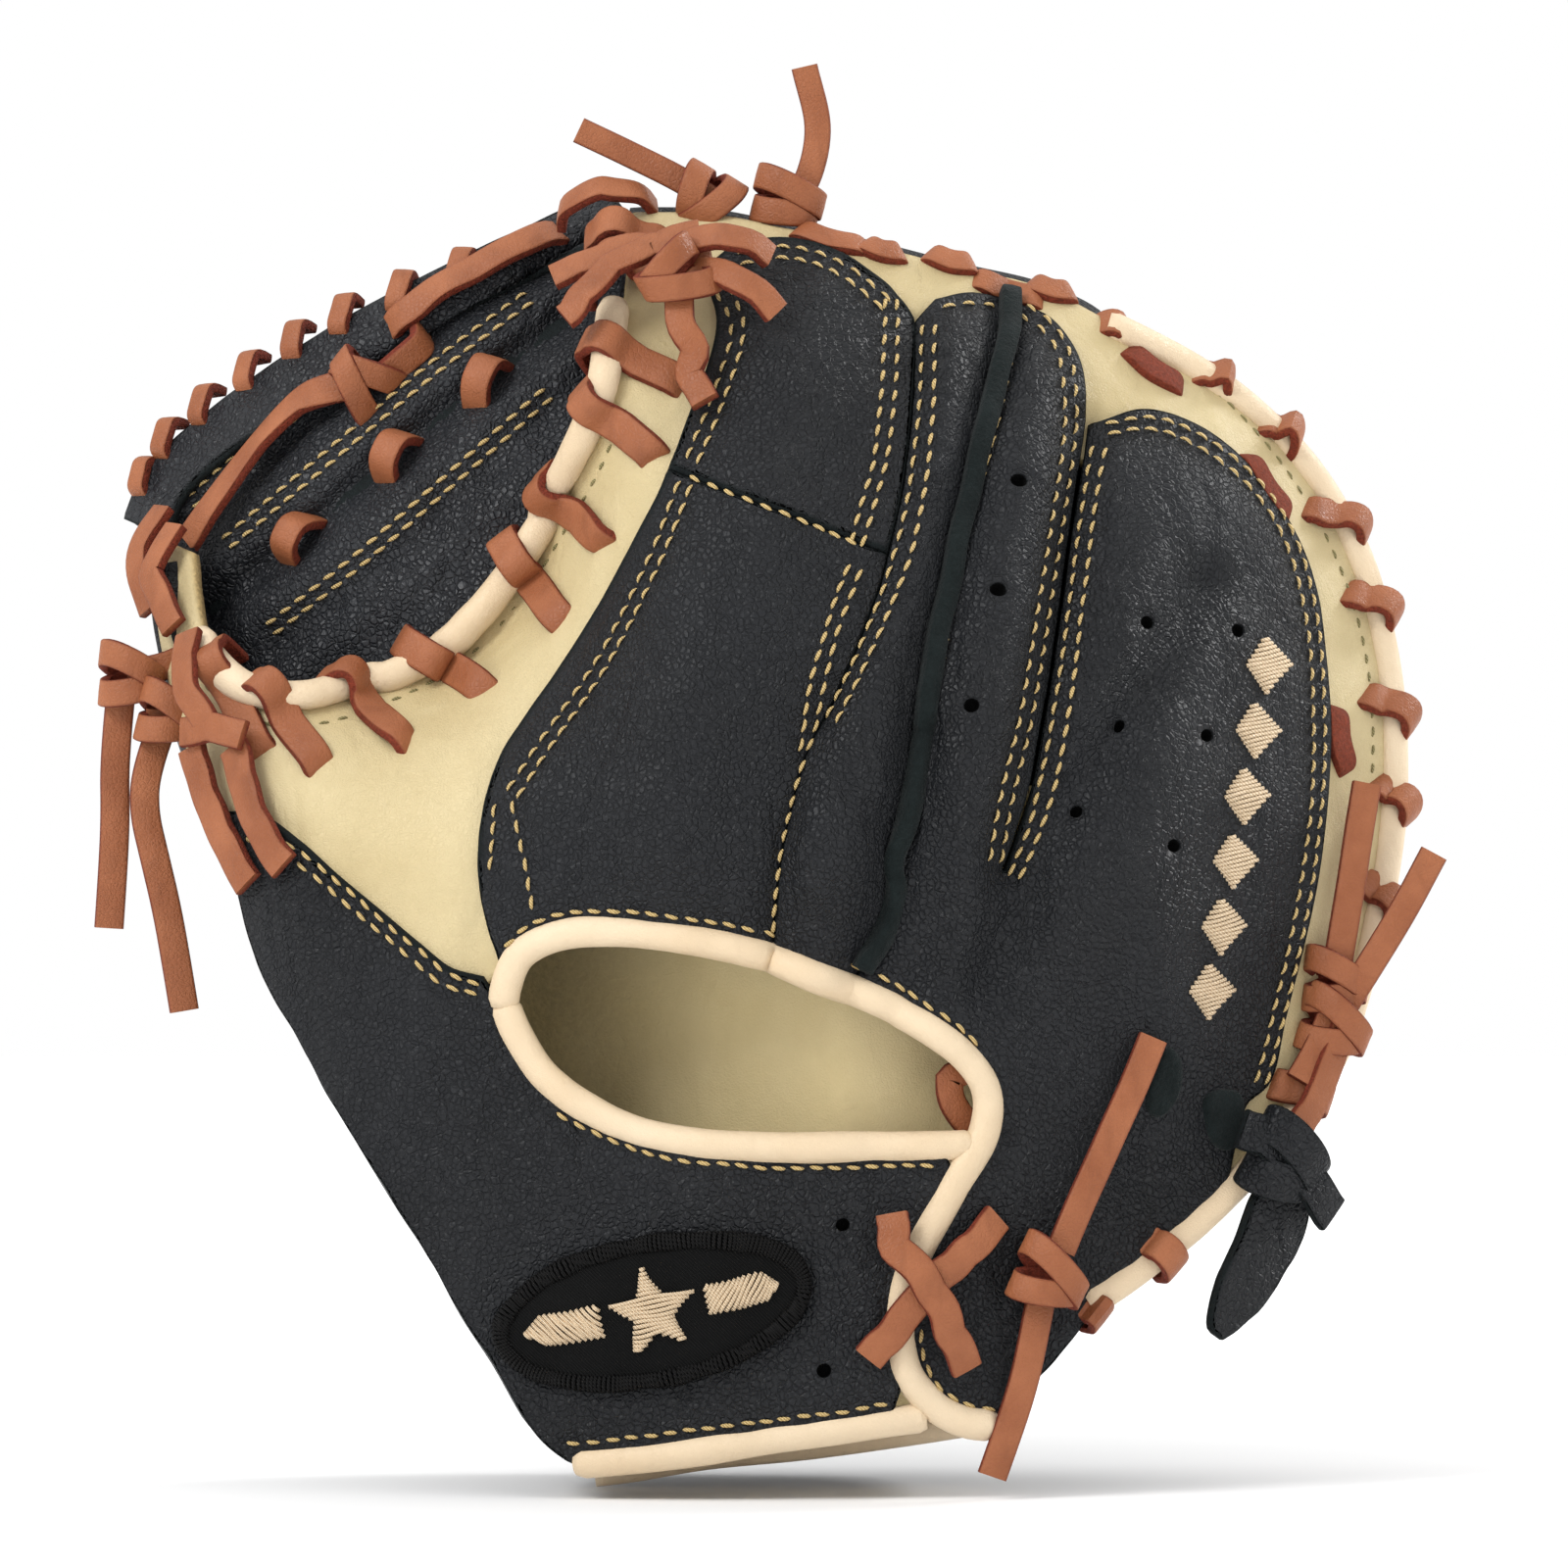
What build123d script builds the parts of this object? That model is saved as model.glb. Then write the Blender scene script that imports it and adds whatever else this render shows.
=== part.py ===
"""Catcher's mitt, worn on the right hand: fingers up (+Z), thumb towards -X, palm and pocket
towards +Y. The origin is the middle of the wrist opening, level with the heel's lowest edge.

The back of the mitt is one curved surface: a drum about an upright axis that curls forwards over
the fingertips, with a funnel sunk into it at the crotch, where the web is laced in. The pocket is
a ball-shaped bowl and the rim's front a shallow dome. Each leather piece is its outline, seen
from the back, cut through a layer of these surfaces. Depths are measured in from the back."""
from build123d import *
from functools import cache
from math import atan2, degrees, hypot, radians, tan
import os

os.makedirs("parts", exist_ok=True)

# Leather, laces and rolls
LEATHER = 2.4
PALM_LEATHER = 3.0
LINING = 1.4
GAP = 0.6
BINDING = 6.0
LACE_WIDTH = 5.6
LACE_THICKNESS = 2.2

# The back surface: drum, fingertip curl, crotch funnel
BACK_Y = -18
DRUM_RADIUS = 165
DRUM_Y = BACK_Y + DRUM_RADIUS
CURL_START = 110
CURL_RADIUS = 200
CURL_TOP = 272
BOTTOM = -20
CROTCH_X, CROTCH_Z = -78, 192
CROTCH_FLOOR_Y = 28
CROTCH_FLOOR_RADIUS = 36
CROTCH_SLOPE = 1.5
BEHIND_ALL = -60
AHEAD_OF_ALL = 115

# The front: pocket bowl and rim dome
POCKET = (-25, 172, 150)
POCKET_RADIUS = 140
DOME = (0, -233, 150)
DOME_RADIUS = 330

# Hand cavity, between the back and palm linings
HAND_TOP = 4.6
HAND_UNDER = 26.0

# Break line, where the thumb half hinges: it runs up the palm, leaning towards the thumb
HINGE_FOOT = (-36, 34, 4)
HINGE_HEAD = (-84, 34, 234)
CLOSING_ANGLE = 30


def hinge_x(z):
    """Where the break line is at height z."""
    share = (z - HINGE_FOOT[2]) / (HINGE_HEAD[2] - HINGE_FOOT[2])
    return HINGE_FOOT[0] + share * (HINGE_HEAD[0] - HINGE_FOOT[0])


# Outlines seen from the back: x to the little finger, z up
TOP_EDGE = [(-26, 248), (-10, 248), (5, 245), (20, 242), (38, 237.5), (52, 233.5), (62, 229.5)]
RIM_ROLL = [(67, 226.5), (83, 218.5), (96, 209.5), (105.5, 200), (113, 189),
            (118.5, 176), (122, 161.5), (123.5, 147), (123, 130), (120.5, 113.5), (116.5, 98),
            (111.5, 84.5), (104, 73.5), (95, 62.5), (84.5, 52.5), (73, 43.5), (62, 36.5)]
HEEL = [(55, 27), (50, 20), (44, 15.5), (30, 16.5), (0, 12.5), (-35, 9)]
THUMB_EDGE = [(-38, 7), (-44, 12), (-52, 25), (-58, 34), (-64, 45), (-70, 54), (-78, 67),
              (-84, 77), (-90, 88), (-96, 98), (-100, 109), (-103, 120), (-108, 131),
              (-113, 142), (-117, 155), (-120, 168), (-121.5, 182)]
CROTCH_INDEX = [(-29, 223), (-31, 212), (-36, 200), (-43, 188), (-52, 174), (-63, 163),
                (-69, 159.5)]
CROTCH_THUMB = [(-71, 158.5), (-79, 155), (-90, 152.5), (-100, 154), (-107, 160), (-111, 170),
                (-113, 180)]
WEB_TOP = [(-124, 189), (-119, 198), (-110, 206), (-95, 217), (-75, 229), (-55, 239),
           (-42, 246)]
WEB_SIDES = [(-39, 240), (-41, 225), (-43, 212), (-46, 199), (-51, 188), (-58, 178),
             (-68, 169.5), (-80, 165), (-91, 163.5), (-96.5, 167), (-101.5, 174),
             (-107, 182), (-117, 187)]
INDEX_EDGE = [(-12, 236), (-9, 226), (-12, 214), (-15.5, 205), (-20, 193), (-26, 181),
              (-32, 170), (-39, 159), (-46, 149), (-51, 141), (-54, 131), (-55, 120),
              (-55.2, 99)]
INDEX_TOP = [(-12, 236), (-6, 241), (1, 242.5), (8, 242), (15, 239.5), (21, 235.5),
             (26, 231), (29, 226)]
CROSS_SEAM = [(-18.3, 197.5), (23.7, 181)]
MIDDLE_SEAM = [(29, 226), (29, 215), (28, 203), (25.5, 188), (22.5, 176), (18, 163),
               (12, 150), (8, 142), (5, 130), (3, 118), (1.5, 104)]
MIDDLE_TOP = [(29, 226), (33, 230.5), (40, 232), (47, 231)]
WELT = [(47, 231), (46.5, 221), (43, 209), (39.5, 195), (35.5, 179), (32, 164), (29.5, 149),
        (27, 136), (25.5, 124), (22, 111), (16, 97)]
RING_TOP = [(47, 231), (55, 227.5), (59, 223), (61.5, 217), (61.8, 206)]
SLIT = [(61.8, 206), (60.5, 197), (58, 182), (56, 167), (53.5, 152), (50.5, 137), (47, 126),
        (45, 120.5)]
LITTLE_EDGE = [(61.8, 206), (66, 207.5), (72, 209), (78, 208.5), (86, 205), (93, 199.5),
               (99, 192.5), (104, 184), (107.5, 174), (109.3, 160), (110, 147), (109.3, 133),
               (107.5, 119), (104.5, 105), (101, 91), (98, 78.5)]
LOWER_EDGE = [(98, 78.5), (93, 74), (91, 66), (89, 57), (84, 52), (76, 46), (66, 38.5),
              (60, 31), (55, 25), (49, 19), (44, 14)]
OPENING_TOP = [(-49.5, 98), (-47, 104), (-40, 108), (-30, 109), (-15, 107.5), (0, 104),
               (10, 100), (20, 96), (30, 91), (38, 85), (42.5, 78), (42, 70)]
HEEL_PANEL_EDGE = [(42, 70), (37, 61), (32, 52), (28, 44), (26, 36), (27, 25), (32, 18),
                   (38, 14.5), (44, 13.5)]
OPENING_BOTTOM = [(-49.5, 98), (-48, 90), (-43, 82), (-36, 76), (-26, 71), (-15, 68.5),
                  (0, 67.5), (20, 67.5), (34, 67.5)]
THUMB_PANEL_TOP = [(-107, 133), (-98, 131), (-90, 126), (-82, 119), (-74, 112.5),
                   (-66, 106), (-60, 101.5), (-56.8, 100)]
STRAP_BOTTOM = [(-34, 6.5), (-20, 8), (0, 11), (24, 14.5)]
BREAK_LINE = [(hinge_x(z), z) for z in (-20, 260)]
HAND = [(-33, -8), (40, -8), (44, 30), (52, 60), (64, 90), (78, 120), (87, 150), (88, 172),
        (80, 188), (66, 200), (57, 212), (44, 221), (30, 220), (16, 227), (2, 229), (-5, 220),
        (-12, 205), (-20, 188), (-30, 170), (-38, 156), (-46, 146), (-50, 138), (-52, 125),
        (-54.5, 100)]
THUMB_HAND = [(-35.5, -8), (-57, 99), (-66, 108), (-78, 120), (-90, 134), (-99, 149),
              (-104, 160), (-108, 170), (-113, 168), (-111, 155), (-106, 140), (-100, 125),
              (-95, 110), (-90, 94), (-78, 72), (-66, 50), (-56, 30), (-47, 14), (-42, -8)]

# Finger stalls: base point, tip point, width
STALLS = [((-18, 128), (6, 213), 24), ((12, 125), (35, 207), 20), ((35, 122), (54, 193), 18),
          ((59, 113), (79, 174), 22)]
THUMB_STALL = ((-84, 108), (-104, 146), 17)
VENT_HOLES = [(73, 168), (91, 166), (84.5, 146), (68.5, 147.5), (78, 125), (60.5, 131),
              (49, 195), (45, 174), (40, 152), (15, 52.5), (11.5, 24.5)]
VENT_RADIUS = 1.2

# Laces, as straight bars on the surface
RIM_LACES = [((68, 228), (78, 225.5)), ((84, 218.5), (98, 215.5)), ((98, 206.5), (110, 201.5)),
             ((108, 190), (119, 183)), ((116, 172), (125, 164)), ((120, 153), (126, 143)),
             ((122, 133), (125.5, 122)), ((121.5, 116), (124.5, 109)), ((103, 75), (109, 77)),
             ((74, 46), (80, 44.5)), ((60.5, 34.5), (66, 35))]
FINGERTIP_LACES = [((7, 244.5), (19, 241.5)), ((32, 238.5), (39, 237)), ((41, 234.5), (53, 231)),
                   ((72, 221), (81, 214.5)), ((95, 200.5), (102.5, 189)),
                   ((111.5, 151), (113.5, 139))]
CROTCH_LACES = [((-36, 239), (-23, 242)), ((-35, 232), (-22, 236)), ((-34, 223), (-20, 216)),
                ((-33.5, 214), (-22.5, 202)), ((-41, 198), (-31, 185)),
                ((-48, 185), (-40, 170)), ((-65, 164), (-54.5, 156.5))]
THUMB_LACES = [((-82, 156.5), (-72, 148)), ((-96, 155.5), (-87, 142)), ((-104, 158), (-99, 144)),
               ((-110, 166), (-106, 152))]
WEB_EDGE_LACES = [(-119.5, 194.5), (-113, 201), (-104, 208.5), (-94.5, 215.5), (-84, 222),
                  (-73, 228.5), (-62, 234)]
WEB_LOOPS = [((-60, 212), (-55, 219)), ((-75, 197), (-71, 204)), ((-94, 181), (-90, 188))]

# Free lace tails: points that each tail follows from its knot to its cut end
TAILS = {
    "tail_thumb_outer": [(-126.5, 38, 152.3), (-127.6, 37.6, 141), (-127.4, 37.9, 130),
                         (-127.9, 37.5, 119), (-128.7, 38, 108)],
    "tail_thumb_inner": [(-118.5, 35, 146.5), (-121.2, 33.5, 139), (-121.6, 32.4, 131),
                         (-119.4, 31.4, 122), (-117, 30.6, 112), (-115.2, 30.4, 102),
                         (-113.6, 30.8, 92)],
    "tail_rim": [(111.6, 18.5, 101), (113, 19.5, 109.5), (114.6, 21, 118.5),
                 (116, 23.4, 127.5), (117.6, 25.5, 136.5)],
    "tail_heel_up": [(57, -13.6, 47.3), (60.4, -12.6, 55.5), (64.4, -10.8, 64),
                     (68, -9.2, 72), (71.8, -7.4, 80), (75, -5.6, 88)],
    "tail_heel_down": [(53, -13.6, 37), (51.5, -14.5, 29), (49.6, -15.2, 21),
                       (47, -15.6, 13), (43.8, -15.4, 4)],
}


def backward(points):
    """The same points the other way round."""
    return points[::-1]


@cache
def room_behind(depth):
    """The room in front of the back surface, when that is moved in by depth."""
    curl_x = DRUM_RADIUS - CURL_RADIUS - depth
    middle_z = (CURL_START + CURL_TOP) / 2

    def curl(z):
        return (curl_x + (CURL_RADIUS**2 - (z - CURL_START)**2)**0.5, z)

    floor_y = CROTCH_FLOOR_Y + depth
    funnel_mouth = CROTCH_FLOOR_RADIUS + (floor_y - BEHIND_ALL) / CROTCH_SLOPE
    with BuildPart() as room:
        with BuildSketch(Plane.XZ.offset(-DRUM_Y)):
            with BuildLine():
                Polyline(curl(CURL_TOP), (0, CURL_TOP), (0, BOTTOM),
                         (DRUM_RADIUS - depth, BOTTOM), (DRUM_RADIUS - depth, CURL_START))
                ThreePointArc(curl(CURL_START), curl(middle_z), curl(CURL_TOP))
            make_face()
        revolve(axis=Axis((0, DRUM_Y, 0), (0, 0, 1)))
        with BuildSketch(Plane.XY.offset(CROTCH_Z)):
            with BuildLine():
                Polyline((CROTCH_X, BEHIND_ALL), (CROTCH_X + funnel_mouth, BEHIND_ALL),
                         (CROTCH_X + CROTCH_FLOOR_RADIUS, floor_y), (CROTCH_X, floor_y),
                         close=True)
            make_face()
        revolve(axis=Axis((CROTCH_X, 0, CROTCH_Z), (0, 1, 0)), mode=Mode.SUBTRACT)
    return room.part


@cache
def layer(top, under):
    """The layer between two depths below the back surface."""
    with BuildPart() as sheet:
        add(room_behind(top))
        add(room_behind(under), mode=Mode.SUBTRACT)
    return sheet.part


@cache
def front_room(inset):
    """The room behind the rim's dome and outside the pocket bowl, moved in by inset."""
    with BuildPart() as room:
        with Locations(DOME):
            Sphere(DOME_RADIUS - inset)
        with Locations(POCKET):
            Sphere(POCKET_RADIUS + inset, mode=Mode.SUBTRACT)
    return room.part


def column(points, inset=0.0, cuts=()):
    """An outline carried from back to front through the whole mitt, less strips along lines."""
    with BuildPart() as block:
        with BuildSketch(Plane.XZ.offset(-AHEAD_OF_ALL)):
            with BuildLine():
                Polyline(*points, close=True)
            make_face()
            if inset:
                offset(amount=-inset, kind=Kind.INTERSECTION, mode=Mode.REPLACE)
            for line, width in cuts:
                with BuildLine():
                    Polyline(*line)
                trace(line_width=width, mode=Mode.SUBTRACT)
        extrude(amount=AHEAD_OF_ALL - BEHIND_ALL)
    return block.part


def strips(bars, width):
    """Straight strips from point to point, carried through the whole mitt."""
    with BuildPart() as block:
        for (x0, z0), (x1, z1) in bars:
            middle = Plane(((x0 + x1) / 2, AHEAD_OF_ALL, (z0 + z1) / 2),
                           x_dir=(x1 - x0, 0, z1 - z0), z_dir=(0, -1, 0))
            with BuildSketch(middle):
                Rectangle(hypot(x1 - x0, z1 - z0), width)
            extrude(amount=AHEAD_OF_ALL - BEHIND_ALL)
    return block.part


def back_y(x, z, depth=0.0):
    """Where the back surface is at (x, z), moved in by depth."""
    above = max(0.0, z - CURL_START)
    radius = DRUM_RADIUS - depth - CURL_RADIUS + (CURL_RADIUS**2 - above**2)**0.5
    drum = DRUM_Y - (radius**2 - x**2)**0.5
    from_crotch = hypot(x - CROTCH_X, z - CROTCH_Z)
    funnel = CROTCH_FLOOR_Y + depth - CROTCH_SLOPE * max(0.0, from_crotch - CROTCH_FLOOR_RADIUS)
    return max(drum, funnel)


def roll(points, depth, diameter=BINDING, corner=2.5):
    """A rolled binding along points of the back surface."""
    path_points = [(x, back_y(x, z, depth), z) for x, z in points]
    with BuildPart() as tube:
        with BuildLine() as route:
            FilletPolyline(*path_points, radius=corner)
        with BuildSketch(Plane(route.line @ 0, z_dir=route.line % 0)):
            Circle(diameter / 2)
        sweep(transition=Transition.ROUND)
    return tube.part


def band(points, width):
    """A strip along a line of points, carried through the whole mitt."""
    with BuildPart() as block:
        with BuildSketch(Plane.XZ.offset(-AHEAD_OF_ALL)):
            with BuildLine():
                Polyline(*points)
            trace(line_width=width)
        extrude(amount=AHEAD_OF_ALL - BEHIND_ALL)
    return block.part


def slot(base, tip, width, longer=0.0):
    """A round-ended strip from base to tip, carried through the whole mitt."""
    (x0, z0), (x1, z1) = base, tip
    length = hypot(x1 - x0, z1 - z0)
    x0 -= (x1 - x0) / length * longer
    z0 -= (z1 - z0) / length * longer
    with BuildPart() as block:
        with BuildSketch(Plane.XZ.offset(-AHEAD_OF_ALL)):
            with Locations(((x0 + x1) / 2, (z0 + z1) / 2)):
                SlotCenterToCenter(length + longer, width,
                                   rotation=degrees(atan2(z1 - z0, x1 - x0)))
        extrude(amount=AHEAD_OF_ALL - BEHIND_ALL)
    return block.part


def stall_lining(base, tip, width):
    """A flat tube of lining leather for one finger, closed at the tip."""
    top, under = HAND_TOP + 0.3, HAND_UNDER - 0.3
    with BuildPart() as room:
        add(slot(base, tip, width - 2 * LINING, longer=width))
        add(layer(top + LINING, under - LINING), mode=Mode.INTERSECT)
    with BuildPart() as tube:
        add(slot(base, tip, width))
        add(layer(top, under), mode=Mode.INTERSECT)
        add(room.part, mode=Mode.SUBTRACT)
    return tube.part


def web_sheet(points, top, under):
    """An outline cut from the pocket bowl's own surface, between two depths behind it."""
    with BuildPart() as sheet:
        add(column(points))
        with Locations(POCKET):
            Sphere(POCKET_RADIUS + top, mode=Mode.INTERSECT)
            Sphere(POCKET_RADIUS + under, mode=Mode.SUBTRACT)
    return sheet.part


def knot(x, z, width, height, depth=7.0, thickness=6.0, turn=0.0):
    """A flat, rounded lump of knotted lace that lies on the surface."""
    place = Plane((x, back_y(x, z, -depth), z), x_dir=(1, 0, 0), z_dir=(0, -1, 0))
    with BuildPart(place.rotated((0, 0, turn))) as lump:
        Box(width, height, thickness)
        fillet(lump.edges(), radius=thickness * 0.4)
    return lump.part


def lace_end(x0, z0, x1, z1, depth, y=None):
    """A cut end of flat lace, straight from (x0, z0) to (x1, z1), facing back."""
    ys = [y, y] if y is not None else [back_y(x0, z0, -depth), back_y(x1, z1, -depth)]
    start, end = Vector(x0, ys[0], z0), Vector(x1, ys[1], z1)
    run = end - start
    across = run.cross(Vector(0, 1, 0)).normalized()
    flat = Plane((start + end) * 0.5, x_dir=run.normalized(), z_dir=run.cross(across).normalized())
    with BuildPart(flat) as strip:
        Box(run.length, LACE_WIDTH, LACE_THICKNESS)
    return strip.part


def tail_tube(points):
    """The round solid that a free tail fills, straight runs joined by the largest arcs."""
    radii = []
    for a, b, c in zip(points, points[1:], points[2:]):
        into, out = Vector(*b) - Vector(*a), Vector(*c) - Vector(*b)
        half_turn = radians(into.get_angle(out) / 2)
        radii.append(0.45 * min(into.length, out.length) / tan(half_turn))
    print("tail radii", [round(radius) for radius in radii])
    with BuildPart() as tube:
        with BuildLine() as route:
            FilletPolyline(*points, radius=radii)
        with BuildSketch(Plane(route.line @ 0, z_dir=route.line % 0)):
            Circle(LACE_WIDTH / 2)
        sweep()
    return tube.part


def break_notch():
    """The room that the thumb half must leave in front of the hinge so that it can close."""
    closing = tan(radians(CLOSING_ANGLE + 1.5))
    rise = (HINGE_HEAD[2] - HINGE_FOOT[2])
    lean = (HINGE_HEAD[0] - HINGE_FOOT[0])
    across = Plane(HINGE_FOOT, x_dir=(rise, 0, -lean), z_dir=(lean, 0, rise)).offset(-40)
    reach = AHEAD_OF_ALL - HINGE_FOOT[1]
    with BuildPart() as wedge:
        with BuildSketch(across):
            with BuildLine():
                Polyline((6, -110), (-GAP / 2, -110), (-GAP / 2, -1),
                         (-GAP / 2 - (reach + 1) * closing, reach), (6, reach), close=True)
            make_face()
        extrude(amount=340)
    return wedge.part


def save(piece, name):
    """Label a finished piece and write it."""
    piece.label = name
    export_step(piece, f"parts/{name}.step")


# ---- Shared cuts ----

OPENING_CUTS = [(OPENING_TOP, BINDING + GAP), (OPENING_BOTTOM, BINDING + GAP),
                (HEEL_PANEL_EDGE, BINDING + GAP)]
INDEX_SIDE = [(-15.5, 205), (-12, 214), (-9, 226)]
STRAP_TOP_SEAM = [(-57, 99.2), (-49, 97.8)]

# ---- Back leather, finger half ----

with BuildPart() as index_tip_panel:
    add(column(INDEX_TOP + MIDDLE_SEAM[1:4] + backward(CROSS_SEAM) + INDEX_SIDE,
               cuts=[(MIDDLE_SEAM, GAP), (CROSS_SEAM, GAP), (INDEX_EDGE, GAP),
                     (INDEX_TOP, GAP)]))
    add(layer(0, LEATHER), mode=Mode.INTERSECT)
save(index_tip_panel.part, "index_tip_panel")

with BuildPart() as hand_back_panel:
    add(column(CROSS_SEAM + MIDDLE_SEAM[4:] + backward(OPENING_TOP[:6])
               + backward(INDEX_EDGE[4:]),
               cuts=[(MIDDLE_SEAM, GAP), (CROSS_SEAM, GAP), (INDEX_EDGE, GAP),
                     (STRAP_TOP_SEAM, GAP), *OPENING_CUTS]))
    add(layer(0, LEATHER), mode=Mode.INTERSECT)
save(hand_back_panel.part, "hand_back_panel")

with BuildPart() as middle_finger_panel:
    add(column(backward(MIDDLE_SEAM) + MIDDLE_TOP[1:] + WELT[1:],
               cuts=[(MIDDLE_SEAM, GAP), (MIDDLE_TOP, GAP), (WELT, 4.6), *OPENING_CUTS]))
    add(layer(0, LEATHER), mode=Mode.INTERSECT)
save(middle_finger_panel.part, "middle_finger_panel")

with BuildPart() as finger_welt:
    add(band([(47, 229.8)] + WELT[1:-1] + [(17.5, 101.5)], 3.6))
    add(layer(-1.4, LEATHER), mode=Mode.INTERSECT)
save(finger_welt.part, "finger_welt")

with BuildPart() as outer_back_panel:
    add(column(RING_TOP + LITTLE_EDGE[1:] + LOWER_EDGE[1:] + backward(HEEL_PANEL_EDGE)[1:]
               + backward(OPENING_TOP[7:])[1:] + backward(WELT)[:-1],
               cuts=[(RING_TOP, GAP), (LITTLE_EDGE, GAP), (SLIT, 1.0), (WELT, 4.6),
                     (RIM_ROLL, BINDING + 2 * GAP), *OPENING_CUTS]))
    add(layer(0, LEATHER), mode=Mode.INTERSECT)
    with Locations(Plane.XZ.offset(-AHEAD_OF_ALL)):
        with Locations(*VENT_HOLES[:9]):
            Cylinder(VENT_RADIUS, 2 * (AHEAD_OF_ALL - BEHIND_ALL), mode=Mode.SUBTRACT)
save(outer_back_panel.part, "outer_back_panel")

with BuildPart() as rim_back_leather:
    add(column(TOP_EDGE + RIM_ROLL[:13] + backward(LITTLE_EDGE)[:-1] + backward(RING_TOP)
               + backward(MIDDLE_TOP)[1:-1] + backward(INDEX_TOP),
               cuts=[(RIM_ROLL, BINDING + 2 * GAP), (LITTLE_EDGE, GAP), (RING_TOP, GAP),
                     (MIDDLE_TOP, GAP), (INDEX_TOP, GAP), (WELT, 4.6),
                     ([TOP_EDGE[0], INDEX_TOP[0]], GAP)]))
    add(layer(0, LEATHER), mode=Mode.INTERSECT)
save(rim_back_leather.part, "rim_back_leather")

with BuildPart() as index_crotch_leather:
    add(column([TOP_EDGE[0]] + INDEX_EDGE + [(hinge_x(99), 99), (hinge_x(160), 160)]
               + backward(CROTCH_INDEX[:-1]),
               cuts=[(INDEX_EDGE, GAP), (BREAK_LINE, GAP), (CROTCH_INDEX, BINDING + 2 * GAP),
                     ([TOP_EDGE[0], INDEX_TOP[0]], GAP)]))
    add(layer(0, LEATHER), mode=Mode.INTERSECT)
save(index_crotch_leather.part, "index_crotch_leather")

with BuildPart() as wrist_strap:
    add(column([(hinge_x(99.3), 99.3)] + OPENING_BOTTOM + HEEL_PANEL_EDGE[1:6]
               + backward(STRAP_BOTTOM) + [(hinge_x(6.5), 6.5)],
               cuts=[(BREAK_LINE, GAP), (STRAP_TOP_SEAM, GAP),
                     (STRAP_BOTTOM, BINDING + 2 * GAP), *OPENING_CUTS]))
    add(layer(0, LEATHER + 0.8), mode=Mode.INTERSECT)
    with Locations(Plane.XZ.offset(-AHEAD_OF_ALL)):
        with Locations(*VENT_HOLES[9:]):
            Cylinder(VENT_RADIUS, 2 * (AHEAD_OF_ALL - BEHIND_ALL), mode=Mode.SUBTRACT)
save(wrist_strap.part, "wrist_strap")

with BuildPart() as strap_patch:
    with BuildSketch(Plane.XZ.offset(-AHEAD_OF_ALL)):
        with Locations((-20, 35)):
            Ellipse(29, 12.5, rotation=12)
    extrude(amount=AHEAD_OF_ALL - BEHIND_ALL)
    add(column([(hinge_x(-8) + 1, -8), (60, -8), (60, 80), (hinge_x(80) + 1, 80)]),
        mode=Mode.INTERSECT)
    add(layer(-1.4, -0.3), mode=Mode.INTERSECT)
save(strap_patch.part, "strap_patch")

# ---- Rolled bindings ----

with BuildPart() as strap_binding:
    add(roll(STRAP_BOTTOM, 1.5))
save(strap_binding.part, "strap_binding")

with BuildPart() as opening_upper_binding:
    add(roll(OPENING_TOP + HEEL_PANEL_EDGE[1:], 1.2, corner=2))
save(opening_upper_binding.part, "opening_upper_binding")

with BuildPart() as opening_lower_binding:
    add(roll([(-48.8, 93.5)] + OPENING_BOTTOM[2:7] + [(32, 67.5)], 1.2, corner=8))
save(opening_lower_binding.part, "opening_lower_binding")

with BuildPart() as rim_binding:
    add(roll(RIM_ROLL, 2, corner=3))
save(rim_binding.part, "rim_binding")

with BuildPart() as crotch_binding_index:
    add(roll(CROTCH_INDEX[:-1] + [(-65.5, 161.5)], 0))
save(crotch_binding_index.part, "crotch_binding_index")

with BuildPart() as crotch_binding_thumb:
    add(roll([(-72.5, 157.9)] + CROTCH_THUMB[1:], 0))
save(crotch_binding_thumb.part, "crotch_binding_thumb")

with BuildPart() as wrist_roll:
    with BuildLine() as wrist_roll_route:
        FilletPolyline((-33, 12.4, 2.8), (-26, 12.8, 3.6), (-12, 12.2, 6), (8, 12.2, 8),
                       (28, 14.2, 10.6), (38, 16.4, 12), radius=3)
    with BuildSketch(Plane(wrist_roll_route.line @ 0, z_dir=wrist_roll_route.line % 0)):
        Circle(2.8)
    sweep(transition=Transition.ROUND)
save(wrist_roll.part, "wrist_roll")

# ---- Linings, finger half ----

with BuildPart() as back_lining:
    add(column(HAND, cuts=[(OPENING_TOP, BINDING + 3), (OPENING_BOTTOM, BINDING + 3),
                           (HEEL_PANEL_EDGE, BINDING + 3)]))
    add(column(OPENING_TOP + backward(OPENING_BOTTOM)[:-1]), mode=Mode.SUBTRACT)
    add(column([(-80, -20), (80, -20), (80, 12), (-80, 12)]), mode=Mode.SUBTRACT)
    add(layer(LEATHER + 0.9, LEATHER + 0.9 + 1.0), mode=Mode.INTERSECT)
save(back_lining.part, "back_lining")

with BuildPart() as palm_lining:
    add(column(HAND, inset=0.3))
    add(column([(-80, -20), (80, -20), (80, 16), (-80, 12)]), mode=Mode.SUBTRACT)
    add(layer(HAND_UNDER + 0.3, HAND_UNDER + 0.3 + LINING), mode=Mode.INTERSECT)
save(palm_lining.part, "palm_lining")

with BuildPart() as finger_stall_linings:
    for base, tip, width in STALLS:
        add(stall_lining(base, tip, width))
save(finger_stall_linings.part, "finger_stall_linings")

# ---- Pads and palm leather, finger half ----

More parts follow.
